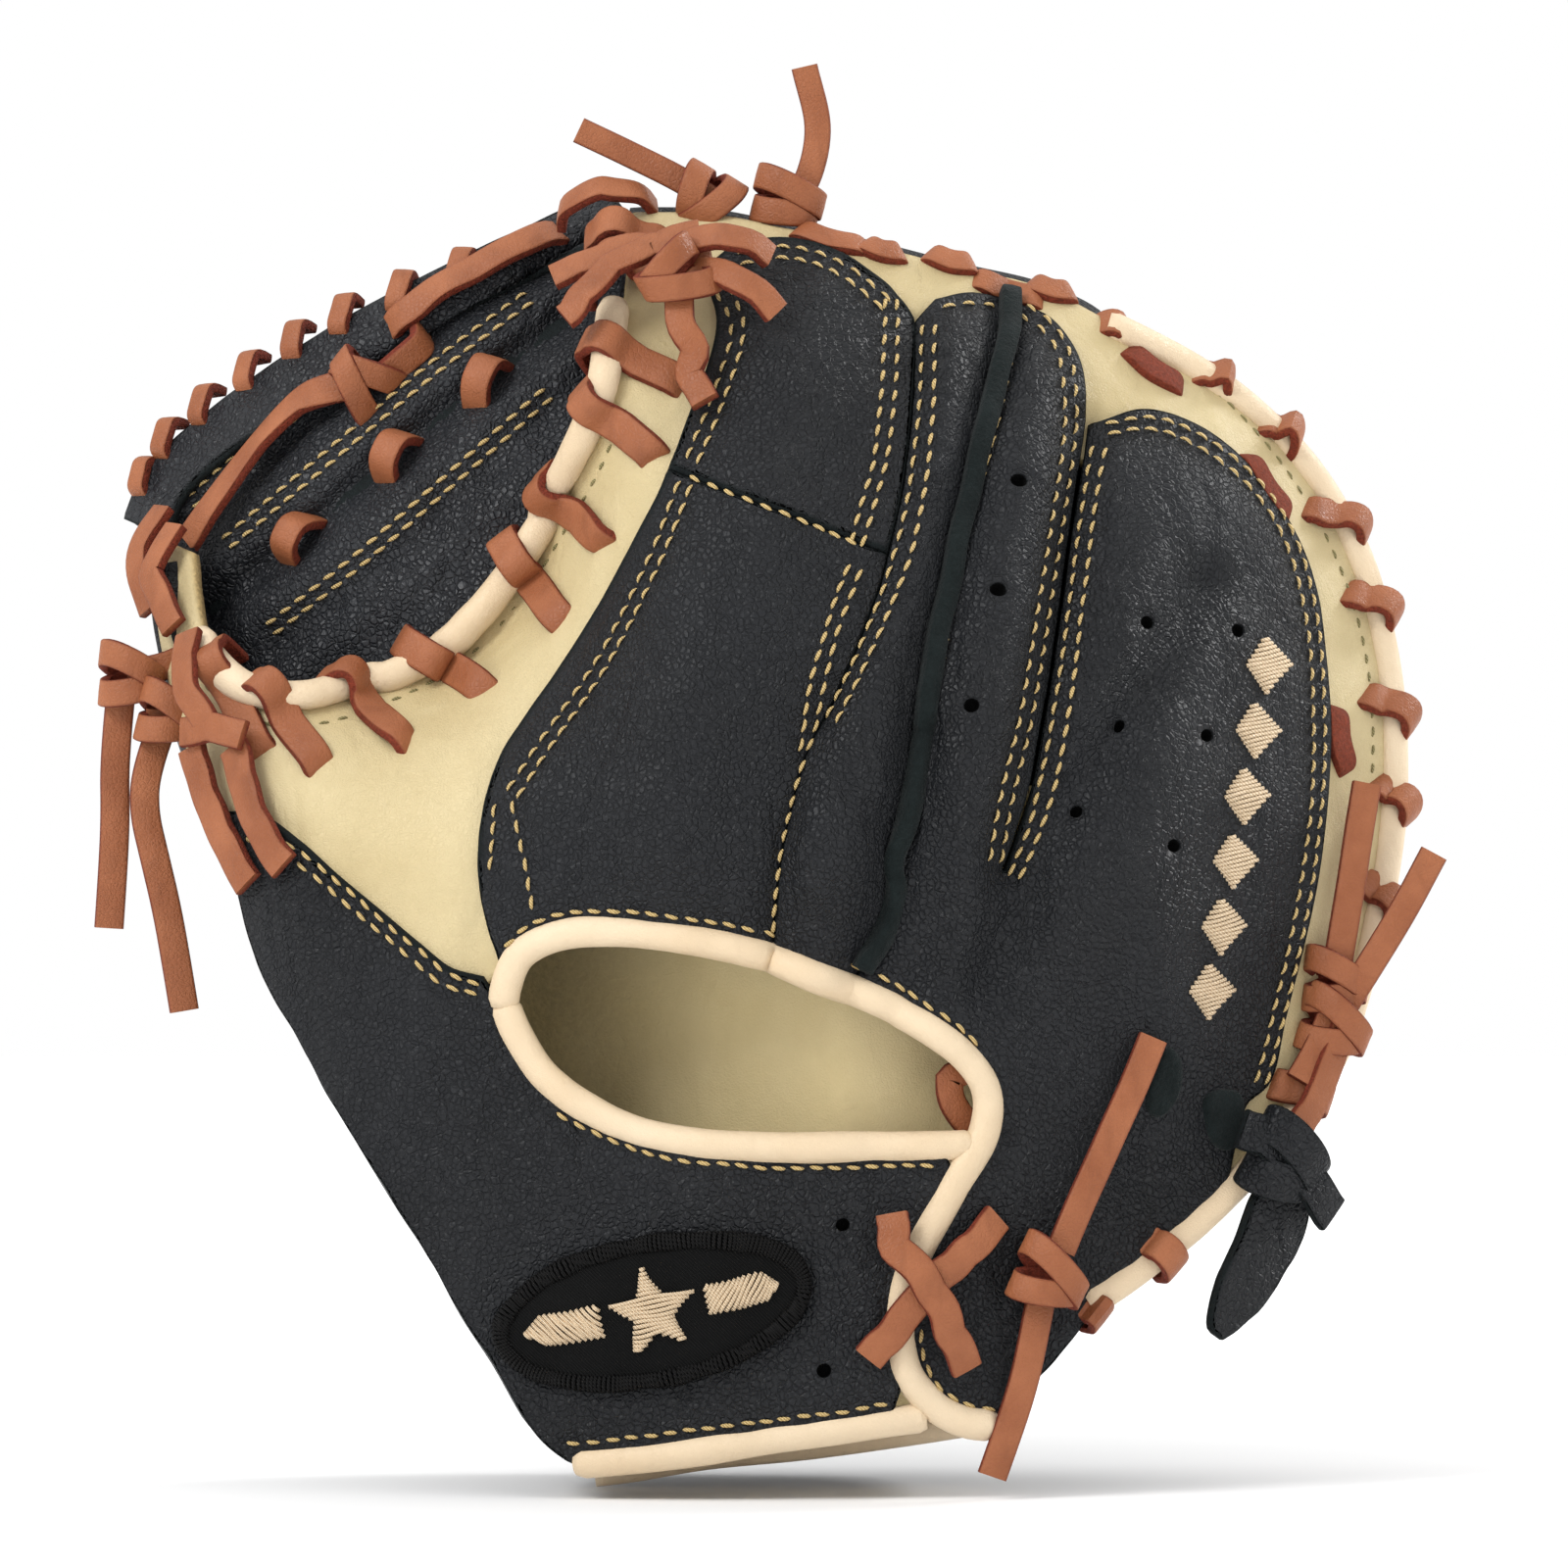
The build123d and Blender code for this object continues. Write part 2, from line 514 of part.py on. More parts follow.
FINGER_BODY = (TOP_EDGE + RIM_ROLL + HEEL + [(hinge_x(9), 9), (hinge_x(160), 160)]
               + backward(CROTCH_INDEX[:-1]))
FINGER_CUTS = [(RIM_ROLL, BINDING + 2 * GAP), (CROTCH_INDEX, BINDING + 2 * GAP),
               (BREAK_LINE, GAP)]
PAD_INSET = PALM_LEATHER + 0.4
PAD_SPLIT = 62
PAD_BACK = LEATHER + 0.8

with BuildPart() as hand_hollow:
    add(column(HAND))
    for base, tip, width in STALLS:
        add(slot(base, tip, width + 2 * GAP))
    add(room_behind(HAND_UNDER + 0.6 + LINING), mode=Mode.SUBTRACT)

with BuildPart() as palm_core:
    add(column(FINGER_BODY, inset=PALM_LEATHER,
               cuts=[(RIM_ROLL, BINDING + 2 * GAP + 2 * PALM_LEATHER),
                     (CROTCH_INDEX, BINDING + 2 * GAP + 2 * PALM_LEATHER)]))
    add(front_room(PALM_LEATHER), mode=Mode.INTERSECT)

with BuildPart() as palm_leather:
    add(column(FINGER_BODY, cuts=FINGER_CUTS))
    add(front_room(0), mode=Mode.INTERSECT)
    add(room_behind(PAD_BACK), mode=Mode.INTERSECT)
    add(palm_core.part, mode=Mode.SUBTRACT)
    add(hand_hollow.part, mode=Mode.SUBTRACT)
save(palm_leather.part, "palm_leather")

with BuildPart() as finger_stuffing:
    add(column(FINGER_BODY, inset=PAD_INSET,
               cuts=[(RIM_ROLL, BINDING + 2 * GAP + 2 * PAD_INSET),
                     (CROTCH_INDEX, BINDING + 2 * GAP + 2 * PAD_INSET)]))
    add(front_room(PAD_INSET), mode=Mode.INTERSECT)
    add(room_behind(PAD_BACK), mode=Mode.INTERSECT)
    add(hand_hollow.part, mode=Mode.SUBTRACT)

with BuildPart() as palm_pad:
    add(finger_stuffing.part)
    add(column([(-140, -30), (140, -30), (140, PAD_SPLIT), (-140, PAD_SPLIT)]),
        mode=Mode.SUBTRACT)
save(palm_pad.part, "palm_pad")

with BuildPart() as heel_pad:
    add(finger_stuffing.part)
    add(column([(-140, 270), (140, 270), (140, PAD_SPLIT - GAP), (-140, PAD_SPLIT - GAP)]),
        mode=Mode.SUBTRACT)
save(heel_pad.part, "heel_pad")

# ---- Thumb half ----

THUMB_BODY = (THUMB_EDGE + backward(CROTCH_THUMB) + [(hinge_x(158.5), 158.5), (hinge_x(7), 7)])
THUMB_CUTS = [(CROTCH_THUMB, BINDING + 2 * GAP)]

with BuildPart() as thumb_hollow:
    add(column(THUMB_HAND))
    add(slot(*THUMB_STALL[:2], THUMB_STALL[2] + 2 * GAP))
    add(room_behind(HAND_UNDER), mode=Mode.SUBTRACT)

with BuildPart() as thumb_back_panel:
    add(column(THUMB_EDGE[:13] + THUMB_PANEL_TOP[1:] + [(hinge_x(99), 99), (hinge_x(7), 7)],
               cuts=[(BREAK_LINE, GAP), (THUMB_PANEL_TOP, GAP)]))
    add(layer(0, LEATHER), mode=Mode.INTERSECT)
save(thumb_back_panel.part, "thumb_back_panel")

with BuildPart() as thumb_crotch_leather:
    add(column(backward(THUMB_PANEL_TOP[1:]) + THUMB_EDGE[12:] + backward(CROTCH_THUMB)
               + [(hinge_x(158.5), 158.5), (hinge_x(100.4), 100.4)],
               cuts=[(BREAK_LINE, GAP), (THUMB_PANEL_TOP, GAP), *THUMB_CUTS]))
    add(layer(0, LEATHER), mode=Mode.INTERSECT)
save(thumb_crotch_leather.part, "thumb_crotch_leather")

with BuildPart() as thumb_core:
    add(column(THUMB_BODY, inset=PALM_LEATHER,
               cuts=[(CROTCH_THUMB, BINDING + 2 * GAP + 2 * PALM_LEATHER)]))
    add(front_room(PALM_LEATHER), mode=Mode.INTERSECT)

with BuildPart() as thumb_palm_leather:
    add(column(THUMB_BODY, cuts=THUMB_CUTS))
    add(front_room(0), mode=Mode.INTERSECT)
    add(room_behind(PAD_BACK), mode=Mode.INTERSECT)
    add(thumb_core.part, mode=Mode.SUBTRACT)
    add(thumb_hollow.part, mode=Mode.SUBTRACT)
    add(break_notch(), mode=Mode.SUBTRACT)
save(thumb_palm_leather.part, "thumb_palm_leather")

with BuildPart() as thumb_pad:
    add(column(THUMB_BODY, inset=PAD_INSET,
               cuts=[(CROTCH_THUMB, BINDING + 2 * GAP + 2 * PAD_INSET)]))
    add(front_room(PAD_INSET), mode=Mode.INTERSECT)
    add(room_behind(PAD_BACK), mode=Mode.INTERSECT)
    add(thumb_hollow.part, mode=Mode.SUBTRACT)
    add(break_notch(), mode=Mode.SUBTRACT)
save(thumb_pad.part, "thumb_pad")

with BuildPart() as thumb_stall_lining:
    add(stall_lining(*THUMB_STALL))
save(thumb_stall_lining.part, "thumb_stall_lining")

# ---- Web ----

WEB = WEB_TOP + WEB_SIDES

with BuildPart() as web_front_panel:
    add(web_sheet(WEB, LEATHER, 0))
save(web_front_panel.part, "web_front_panel")

with BuildPart() as web_back_panel:
    add(web_sheet(WEB, 2 * LEATHER + 0.8, LEATHER + 0.8))
save(web_back_panel.part, "web_back_panel")

with BuildPart() as web_top_strap:
    add(band(WEB_TOP, 11))
    with Locations(POCKET):
        Sphere(POCKET_RADIUS + 8.2, mode=Mode.INTERSECT)
        Sphere(POCKET_RADIUS + 6, mode=Mode.SUBTRACT)
save(web_top_strap.part, "web_top_strap")

with BuildPart() as web_edge_lace:
    add(strips([((x - 2.5, z + 4.5), (x + 1.5, z - 2.5)) for x, z in WEB_EDGE_LACES],
               LACE_WIDTH))
    with Locations(POCKET):
        Sphere(POCKET_RADIUS + 10.6, mode=Mode.INTERSECT)
        Sphere(POCKET_RADIUS + 8.5, mode=Mode.SUBTRACT)
save(web_edge_lace.part, "web_edge_lace")

with BuildPart() as web_cross_lace:
    add(strips([((-44, 241), (-81, 220)), ((-88, 212), (-112, 185))], LACE_WIDTH))
    with Locations((-84, AHEAD_OF_ALL / 2, 217)):
        Box(11, AHEAD_OF_ALL * 2, 11)
    with Locations(POCKET):
        Sphere(POCKET_RADIUS + 13, mode=Mode.INTERSECT)
        Sphere(POCKET_RADIUS + 10.9, mode=Mode.SUBTRACT)
save(web_cross_lace.part, "web_cross_lace")

with BuildPart() as web_loops:
    add(strips(WEB_LOOPS, LACE_WIDTH))
    with Locations(POCKET):
        Sphere(POCKET_RADIUS + 8, mode=Mode.INTERSECT)
        Sphere(POCKET_RADIUS + 5.9, mode=Mode.SUBTRACT)
save(web_loops.part, "web_loops")

# ---- Lacing, knots and small trim ----


def surface_laces(bars, depth):
    """Flat laces that lie along bars, at a height over the back surface."""
    with BuildPart() as laces:
        add(strips(bars, LACE_WIDTH))
        add(layer(-depth - LACE_THICKNESS, -depth), mode=Mode.INTERSECT)
    return laces.part


LACE_GROUPS = {"rim_lace": (RIM_LACES, 3.4), "fingertip_lace": (FINGERTIP_LACES, 1.8),
               "crotch_lace_index": (CROTCH_LACES, 6.4),
               "crotch_lace_thumb": (THUMB_LACES, 6.4),
               "strap_cross_lace": ([((27, 52), (37, 28))], 2.3),
               "little_finger_loop": ([((107.5, 84), (102, 72))], 6.2)}
for group, (bars, depth) in LACE_GROUPS.items():
    with BuildPart() as laces:
        add(surface_laces(bars, depth))
        if group == "strap_cross_lace":
            add(surface_laces([((43, 51), (21, 27))], 2.3 + LACE_THICKNESS + 0.4))
    save(laces.part, group)

with BuildPart() as finger_knots:
    add(knot(-12, 251.5, 9, 7, depth=2))
    add(knot(5, 251.5, 12, 7, depth=3))
    add(knot(-16, 228, 11, 8, depth=11))
    add(knot(111, 96.5, 10, 7))
    add(knot(110, 88.5, 10, 6))
    add(knot(54.5, 42, 13, 7.5))
save(finger_knots.part, "finger_knots")

with BuildPart() as lace_ends:
    add(lace_end(-16, 255, -36, 264, 0, y=41))
    add(lace_end(9, 255, 8.5, 276, 0, y=40))
    add(lace_end(-14, 223, -9, 208, 11))
    add(lace_end(-33, 221, 0, 235.5, 18))
    add(lace_end(-34, 231, 0, 227, 22.5))
    add(lace_end(118.5, 100.5, 131, 122.5, 11))
save(lace_ends.part, "lace_ends")

with BuildPart() as thumb_knots:
    add(knot(-124.5, 157, 12, 7, depth=6))
    add(knot(-116.5, 150.5, 8, 6, depth=5))
    add(knot(-104.5, 146, 10, 6, depth=13))
save(thumb_knots.part, "thumb_knots")

with BuildPart() as thumb_lace_ends:
    add(lace_end(-109, 141, -98, 117.5, 5))
    add(lace_end(-100.5, 141, -91.5, 121.5, 5))
save(thumb_lace_ends.part, "thumb_lace_ends")

with BuildPart() as adjuster_thong:
    add(column([(91, 71), (92, 77), (98, 75), (107, 67), (105, 55), (100.5, 54), (98, 43),
                (90, 32), (85, 31), (86, 38), (91, 50), (92, 55), (90, 63)]))
    add(layer(-5.2, -1.6), mode=Mode.INTERSECT)
save(adjuster_thong.part, "adjuster_thong")

with BuildPart() as embroidered_mark:
    for step in range(6):
        x, z = 85.5 + 2.3 * step, 97 + 12.5 * step
        add(column([(x - 4.5, z), (x - 0.8, z + 5.4), (x + 4.5, z), (x - 0.8, z - 5.4)]))
    add(layer(-1.0, -0.2), mode=Mode.INTERSECT)
save(embroidered_mark.part, "embroidered_mark")

# ---- Free lace tails ----

for tail, points in TAILS.items():
    with BuildPart() as tube:
        add(tail_tube(points))
    save(tube.part, tail)
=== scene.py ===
"""Looks of a padded catcher's mitt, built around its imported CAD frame.

Lengths are in millimetres until a mesh is made. The frame has +X to the little finger, +Y to the
palm and +Z to the fingertips. Each leather piece is its outline, seen from the back, laid on the
mitt's back surface, the web's bowl or the palm's front."""

import math

import bpy
import numpy as np
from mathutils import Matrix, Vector, geometry


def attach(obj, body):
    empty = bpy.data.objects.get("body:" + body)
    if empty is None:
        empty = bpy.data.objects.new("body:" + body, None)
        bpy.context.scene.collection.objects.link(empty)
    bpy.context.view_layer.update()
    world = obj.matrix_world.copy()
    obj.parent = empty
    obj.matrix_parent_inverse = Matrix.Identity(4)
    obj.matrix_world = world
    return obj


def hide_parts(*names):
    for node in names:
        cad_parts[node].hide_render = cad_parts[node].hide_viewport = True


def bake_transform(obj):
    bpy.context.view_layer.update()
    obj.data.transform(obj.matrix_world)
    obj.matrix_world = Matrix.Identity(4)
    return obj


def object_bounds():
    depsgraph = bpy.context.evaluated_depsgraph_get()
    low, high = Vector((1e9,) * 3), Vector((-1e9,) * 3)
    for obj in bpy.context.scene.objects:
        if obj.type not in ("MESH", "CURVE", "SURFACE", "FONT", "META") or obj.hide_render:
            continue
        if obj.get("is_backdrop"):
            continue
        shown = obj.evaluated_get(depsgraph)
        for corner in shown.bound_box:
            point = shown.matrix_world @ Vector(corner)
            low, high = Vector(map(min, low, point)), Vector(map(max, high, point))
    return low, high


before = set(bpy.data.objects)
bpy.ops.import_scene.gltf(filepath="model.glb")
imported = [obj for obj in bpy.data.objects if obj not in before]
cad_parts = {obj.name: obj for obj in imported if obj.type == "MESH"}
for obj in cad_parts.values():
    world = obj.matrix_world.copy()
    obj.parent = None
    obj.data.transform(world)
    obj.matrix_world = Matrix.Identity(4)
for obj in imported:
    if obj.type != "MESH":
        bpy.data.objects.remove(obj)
cad_low, cad_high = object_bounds()

MM = 0.001
FINGERS = "finger_half"
THUMB = "thumb_half"


# ---------------------------------------------------------------- outlines and lines, (x, z)

TOP_EDGE = [(-26, 249), (-10, 248.5), (5, 245.5), (20, 242.5), (38, 238), (55, 234), (66, 228.5)]
RIM_ROLL = [(67, 226.5), (83, 218.5), (96, 209.5), (105.5, 200), (113, 189), (118.5, 176),
            (122, 161.5), (123.5, 147), (123, 130), (120.5, 113.5), (116.5, 98), (111.5, 84.5),
            (104, 73.5), (95, 62.5), (84.5, 52.5), (73, 43.5), (62, 36.5)]
HEEL = [(55, 27), (50, 20), (44, 15.5), (30, 16.5), (0, 12.5), (-35, 9)]
THUMB_EDGE = [(-38, 7), (-44, 12), (-52, 25), (-58, 34), (-64, 45), (-70, 54), (-78, 67),
              (-84, 77), (-90, 88), (-96, 98), (-100, 109), (-103, 120), (-108, 131),
              (-113, 142), (-117, 155), (-120, 168), (-121.5, 182)]
CROTCH = [(-28.5, 225), (-31, 212), (-36, 200), (-43, 188), (-52, 174), (-63, 163), (-77, 156),
          (-90, 152.5), (-100, 154), (-107, 160), (-111, 170), (-113, 182)]
CROTCH_ROLL = [(-29, 229), (-30, 219)] + CROTCH[1:10] + [(-109.5, 164.5)]
INDEX_EDGE = [(-12, 236), (-9, 226), (-12, 214), (-15.5, 205), (-20, 193), (-26, 181),
              (-32, 170), (-39, 159), (-46, 149), (-51, 141), (-54, 131), (-55, 120),
              (-55.2, 99)]
INDEX_TOP = [(-12, 236), (-6, 241), (1, 242.5), (8, 242), (15, 239.5), (21, 235.5),
             (26, 231), (29, 226)]
CROSS_SEAM = [(-18.3, 197.5), (23.7, 181)]
MIDDLE_SEAM = [(29, 226), (29, 215), (28, 203), (25.5, 188), (22.5, 176), (18, 163),
               (12, 150), (8, 142), (5, 130), (3, 118), (1.5, 104)]
MIDDLE_TOP = [(29, 226), (33, 230.5), (40, 232), (47, 231)]
WELT = [(47, 231), (46.5, 221), (43, 209), (39.5, 195), (35.5, 179), (32, 164), (29.5, 149),
        (27, 136), (25.5, 124), (22, 111), (16, 97)]
RING_TOP = [(47, 231), (55, 227.5), (59, 223), (61.5, 217), (61.8, 206)]
SLIT = [(61.8, 206), (60.5, 197), (58, 182), (56, 167), (53.5, 152), (50.5, 137), (47, 126),
        (45, 120.5)]
LITTLE_EDGE = [(61.8, 206), (66, 207.5), (72, 209), (78, 208.5), (86, 205), (93, 199.5),
               (99, 192.5), (104, 184), (107.5, 174), (109.3, 160), (110, 147), (109.3, 133),
               (107.5, 119), (104.5, 105), (101, 91), (98, 78.5)]
LOWER_EDGE = [(98, 78.5), (93, 74), (91, 66), (89, 57), (84, 52), (76, 46), (66, 38.5),
              (60, 31), (55, 25), (49, 19), (44, 14)]
OPENING_TOP = [(-49.5, 98), (-47, 104), (-40, 108), (-30, 109), (-15, 107.5), (0, 104),
               (10, 100), (20, 96), (30, 91), (38, 85), (42.5, 78), (42, 70)]
HEEL_PANEL_EDGE = [(42, 70), (37, 61), (32, 52), (28, 44), (26, 36), (27, 25), (32, 18),
                   (38, 14.5), (44, 13.5)]
OPENING_BOTTOM = [(-49.5, 98), (-48, 90), (-43, 82), (-36, 76), (-26, 71), (-15, 68.5),
                  (0, 67.5), (20, 67.5), (34, 67.5)]
THUMB_PANEL_TOP = [(-107, 133), (-98, 131), (-90, 126), (-82, 119), (-74, 112.5),
                   (-66, 106), (-60, 101.5), (-54, 100)]
STRAP_BOTTOM = [(-36, 6.3), (-20, 8), (0, 11), (24, 14.5)]
HAND = [(-33, 12), (40, 15), (44, 30), (52, 60), (64, 90), (70, 108), (66, 128), (40, 140),
        (0, 142), (-34, 136), (-52, 120), (-55, 98), (-50, 80)]
WEB_TOP = [(-126.5, 188), (-122, 198), (-113, 206.5), (-95, 219.5), (-75, 231.5), (-55, 241.5),
           (-40, 248.5), (-30, 253)]
WEB_SIDES = [(-26, 248), (-27, 238), (-27.5, 226), (-29, 212), (-34, 200), (-41, 187), (-50, 173),
             (-61, 161.5), (-76, 154), (-90, 150.5), (-101, 152), (-109, 159), (-113.5, 170),
             (-118, 182)]

FINGER_TUBES = [((-18, 128), (7, 226), 15, 5.0), ((12, 125), (37, 219), 10, 5.0),
                ((37, 124), (54, 214), 8.5, 5.0), ((66, 113), (86, 190), 19, 7.0),
                ((-78, 60), (-104, 150), 18, 5.0)]
CREASES = [(WELT, 4.2, 4.4), (SLIT, 4.2, 4.0), (MIDDLE_SEAM, 2.6, 3.0), (INDEX_EDGE, 1.2, 3.0),
           ([(84, 176), (70, 152), (57, 130), (43, 100)], 4.5, 6.0),
           ([(31, 146), (30, 120), (25, 92)], 3.0, 5.0),
           ([(36, 132), (35, 116), (31, 100)], 1.4, 3.0),
           ([(22, 132), (24, 118), (22, 106)], 1.2, 2.6),
           ([(14, 138), (22, 126), (24, 112)], 1.2, 4.0),
           ([(-2, 118), (6, 134), (9, 148)], 0.8, 5.0),
           ([(-70, 60), (-60, 40), (-48, 24)], 1.2, 9.0),
           ([(60, 70), (74, 60), (86, 62)], 1.6, 6.0),
           ([(-26, 240), (-14, 222), (-18, 206)], 1.0, 7.0)]


HOLE_SIDES = 14
TINY = 1e-9


def arr(points):
    return np.array(points, float)


def smooth(points, step=1.2, corner=38.0, closed=False):
    """A line through the points, rounded where it turns gently, at even steps."""
    p = arr(points)
    n = len(p)
    if closed:
        turn = [angle_at(p[i - 1], p[i], p[(i + 1) % n]) for i in range(n)]
        sharp = [i for i in range(n) if turn[i] > corner]
        if not sharp:
            ring = np.vstack([p[-1], p, p[0], p[1]])
            return even(spline(ring)[:-1], step, True)
        order = list(range(sharp[0], n)) + list(range(0, sharp[0])) + [sharp[0]]
        p = p[order]
        line = smooth(p, step, corner)
        return line[:-1]
    breaks = [0] + [i for i in range(1, len(p) - 1)
                    if angle_at(p[i - 1], p[i], p[i + 1]) > corner] + [len(p) - 1]
    runs = []
    for a, b in zip(breaks, breaks[1:]):
        part = p[a:b + 1]
        ends = np.vstack([2 * part[0] - part[1], part, 2 * part[-1] - part[-2]])
        run = even(spline(ends), step, False)
        runs.append(run if not runs else run[1:])
    return np.vstack(runs)


def angle_at(a, b, c):
    u, v = b - a, c - b
    dot = float(u @ v) / (np.linalg.norm(u) * np.linalg.norm(v) + TINY)
    return math.degrees(math.acos(max(-1.0, min(1.0, dot))))


SPLINE_STEPS = 12


def spline(p):
    """Centripetal curve through all but the first and last of the points."""
    out = []
    for p0, p1, p2, p3 in zip(p, p[1:], p[2:], p[3:]):
        k1 = max(np.linalg.norm(p1 - p0), 1e-6)**0.5
        k2 = max(np.linalg.norm(p2 - p1), 1e-6)**0.5
        k3 = max(np.linalg.norm(p3 - p2), 1e-6)**0.5
        m1 = (p1 - p0) / k1 - (p2 - p0) / (k1 + k2) + (p2 - p1) / k2
        m2 = (p2 - p1) / k2 - (p3 - p1) / (k2 + k3) + (p3 - p2) / k3
        t = np.linspace(0, 1, SPLINE_STEPS, endpoint=False)[:, None]
        m1, m2 = m1 * k2, m2 * k2
        out.append((2 * t**3 - 3 * t**2 + 1) * p1 + (t**3 - 2 * t**2 + t) * m1
                   + (-2 * t**3 + 3 * t**2) * p2 + (t**3 - t**2) * m2)
    out.append(arr([p[-2]]))
    return np.vstack(out)


def even(line, step, closed):
    if closed:
        line = np.vstack([line, line[:1]])
    along = np.concatenate([[0], np.cumsum(np.linalg.norm(np.diff(line, axis=0), axis=1))])
    count = max(2, int(round(along[-1] / step)) + 1)
    at = np.linspace(0, along[-1], count)
    out = np.stack([np.interp(at, along, line[:, k]) for k in range(line.shape[1])], axis=1)
    return out[:-1] if closed else out


def beside(line, distance):
    """A smooth line parallel to another, to its left when distance is positive."""
    p = smooth(line, 1.5, 60)
    d = np.gradient(p, axis=0)
    d /= np.linalg.norm(d, axis=1)[:, None] + TINY
    return p + distance * np.stack([-d[:, 1], d[:, 0]], axis=1)


def single(line):
    return smooth(line, 1.5)


def both(line, middle=0.0, apart=2.2):
    """A double row along a line."""
    return [beside(line, middle - apart / 2), beside(line, middle + apart / 2)]


def distance_to(points, line, closed=False):
    """How far each point is from a line of points."""
    a = arr(line)
    b = np.roll(a, -1, axis=0) if closed else a[1:]
    a = a if closed else a[:-1]
    best = np.full(len(points), 1e9)
    d = b - a
    size = (d * d).sum(1) + 1e-12
    for start in range(0, len(points), 4000):
        p = points[start:start + 4000]
        t = np.clip(((p[:, None] - a) * d).sum(2) / size, 0, 1)
        away = p[:, None] - a - t[..., None] * d
        best[start:start + 4000] = np.sqrt((away**2).sum(2)).min(1)
    return best


def inside(points, outline):
    """Which points are inside a closed outline."""
    x, z = points[:, 0], points[:, 1]
    within = np.zeros(len(points), bool)
    for (x0, z0), (x1, z1) in zip(outline, np.roll(outline, -1, axis=0)):
        crosses = (z0 > z) != (z1 > z)
        with np.errstate(divide="ignore", invalid="ignore"):
            at = (x1 - x0) * (z - z0) / (z1 - z0) + x0
        within ^= crosses & (x < at)
    return within


def ellipse(cx, cz, a, b, tilt, count=72):
    turn = np.linspace(0, math.tau, count, endpoint=False)
    x, z = a * np.cos(turn), b * np.sin(turn)
    c, s = math.cos(tilt), math.sin(tilt)
    return np.stack([cx + c * x - s * z, cz + s * x + c * z], axis=1)


def circle(x, z, radius):
    return ellipse(x, z, radius, radius, 0.0, HOLE_SIDES)


def leftward(outline):
    """An outline's normals, inward when it runs anticlockwise."""
    d = np.roll(outline, -1, axis=0) - np.roll(outline, 1, axis=0)
    d /= np.linalg.norm(d, axis=1)[:, None] + TINY
    return np.stack([-d[:, 1], d[:, 0]], axis=1)


def anticlockwise(outline):
    after = np.roll(outline, -1, axis=0)
    area = np.sum(outline[:, 0] * after[:, 1] - after[:, 0] * outline[:, 1])
    return outline[::-1] if area < 0 else outline


# ---------------------------------------------------------------- surfaces

WAVES = np.random.default_rng(7).random((9, 4))


def waviness(x, z):
    """Slow unevenness of hand-formed leather, about 1 either way."""
    total = np.zeros_like(x)
    for a, b, c, e in WAVES:
        length = 22 + 46 * a
        turn = math.tau * b
        total += math.sin(3 + 9 * e) * np.sin(math.tau * (x * math.cos(turn) + z * math.sin(turn))
                                               / length + math.tau * c)
    return total / 3


def to_segment(x, z, a, b):
    dx, dz = b[0] - a[0], b[1] - a[1]
    t = np.clip(((x - a[0]) * dx + (z - a[1]) * dz) / (dx * dx + dz * dz), 0, 1)
    return np.hypot(x - a[0] - t * dx, z - a[1] - t * dz)


FINE_CREASES = [(smooth(line, 4, 60), depth, width) for line, depth, width in CREASES]


def relief(x, z):
    """How far the back stands out from its plain surface."""
    out = np.zeros_like(x)
    for a, b, width, height in FINGER_TUBES:
        out += height * np.exp(-(to_segment(x, z, a, b) / width)**2)
    flat = np.stack([x.ravel(), z.ravel()], axis=1)
    for line, depth, width in FINE_CREASES:
        away = distance_to(flat, line).reshape(x.shape)
        out -= depth * np.exp(-(away / width)**2)
    return out + 0.8 * waviness(x, z) + 0.16 * waviness(4 * x + 9, 4 * z)


def back_y(x, z):
    """The mitt's back: a drum that curls over the fingertips, with the crotch funnel sunk in."""
    above = np.clip(z - 110, 0, 190)
    radius = -35 + np.sqrt(200**2 - above**2)
    drum = 147 - np.sqrt(np.maximum(radius**2 - x**2, 100))
    funnel = 28 - 1.5 * np.maximum(0, np.hypot(x + 78, z - 192) - 36)
    near = np.maximum(16 - np.abs(drum - funnel), 0) / 16
    return np.maximum(drum, funnel) + near**2 * 4


def back(x, z):
    return back_y(x, z) - relief(x, z)


WEB_FOLDS = [([(-120, 182), (-99, 200), (-78, 217), (-34, 243)], 3.4, 2.2),
             ([(-110, 170), (-92.5, 184), (-73, 200.5), (-55, 215.5), (-30, 234)], 5.5, 3.4),
             ([(-104, 158), (-78, 176), (-54, 198), (-34, 216)], 2.6, 4.0),
             ([(-88, 152), (-66, 172), (-46, 192)], 2.0, 5.0)]
FINE_FOLDS = [(smooth(line, 4, 60), depth, width) for line, depth, width in WEB_FOLDS]


def web_y(x, z, behind=5.6):
    span = np.hypot(x + 25, z - 150)
    return 172 - np.sqrt(np.maximum((140 + behind)**2 - span**2, 100))


def web_back(x, z):
    """The web's back, with the folds between its laced rolls."""
    flat = np.stack([x.ravel(), z.ravel()], axis=1)
    out = np.full(x.shape, 1.6)
    for line, depth, width in FINE_FOLDS:
        out -= depth * np.exp(-(distance_to(flat, line).reshape(x.shape) / width)**2)
    return web_y(x, z) - out - 0.5 * waviness(2 * x, 2 * z)


def web_plain(x, z):
    """The web's back without its folds."""
    return web_y(x, z) - 1.6


def web_front(x, z):
    return web_y(x, z, 0.0) + 0.3 * waviness(2 * x, 2 * z)


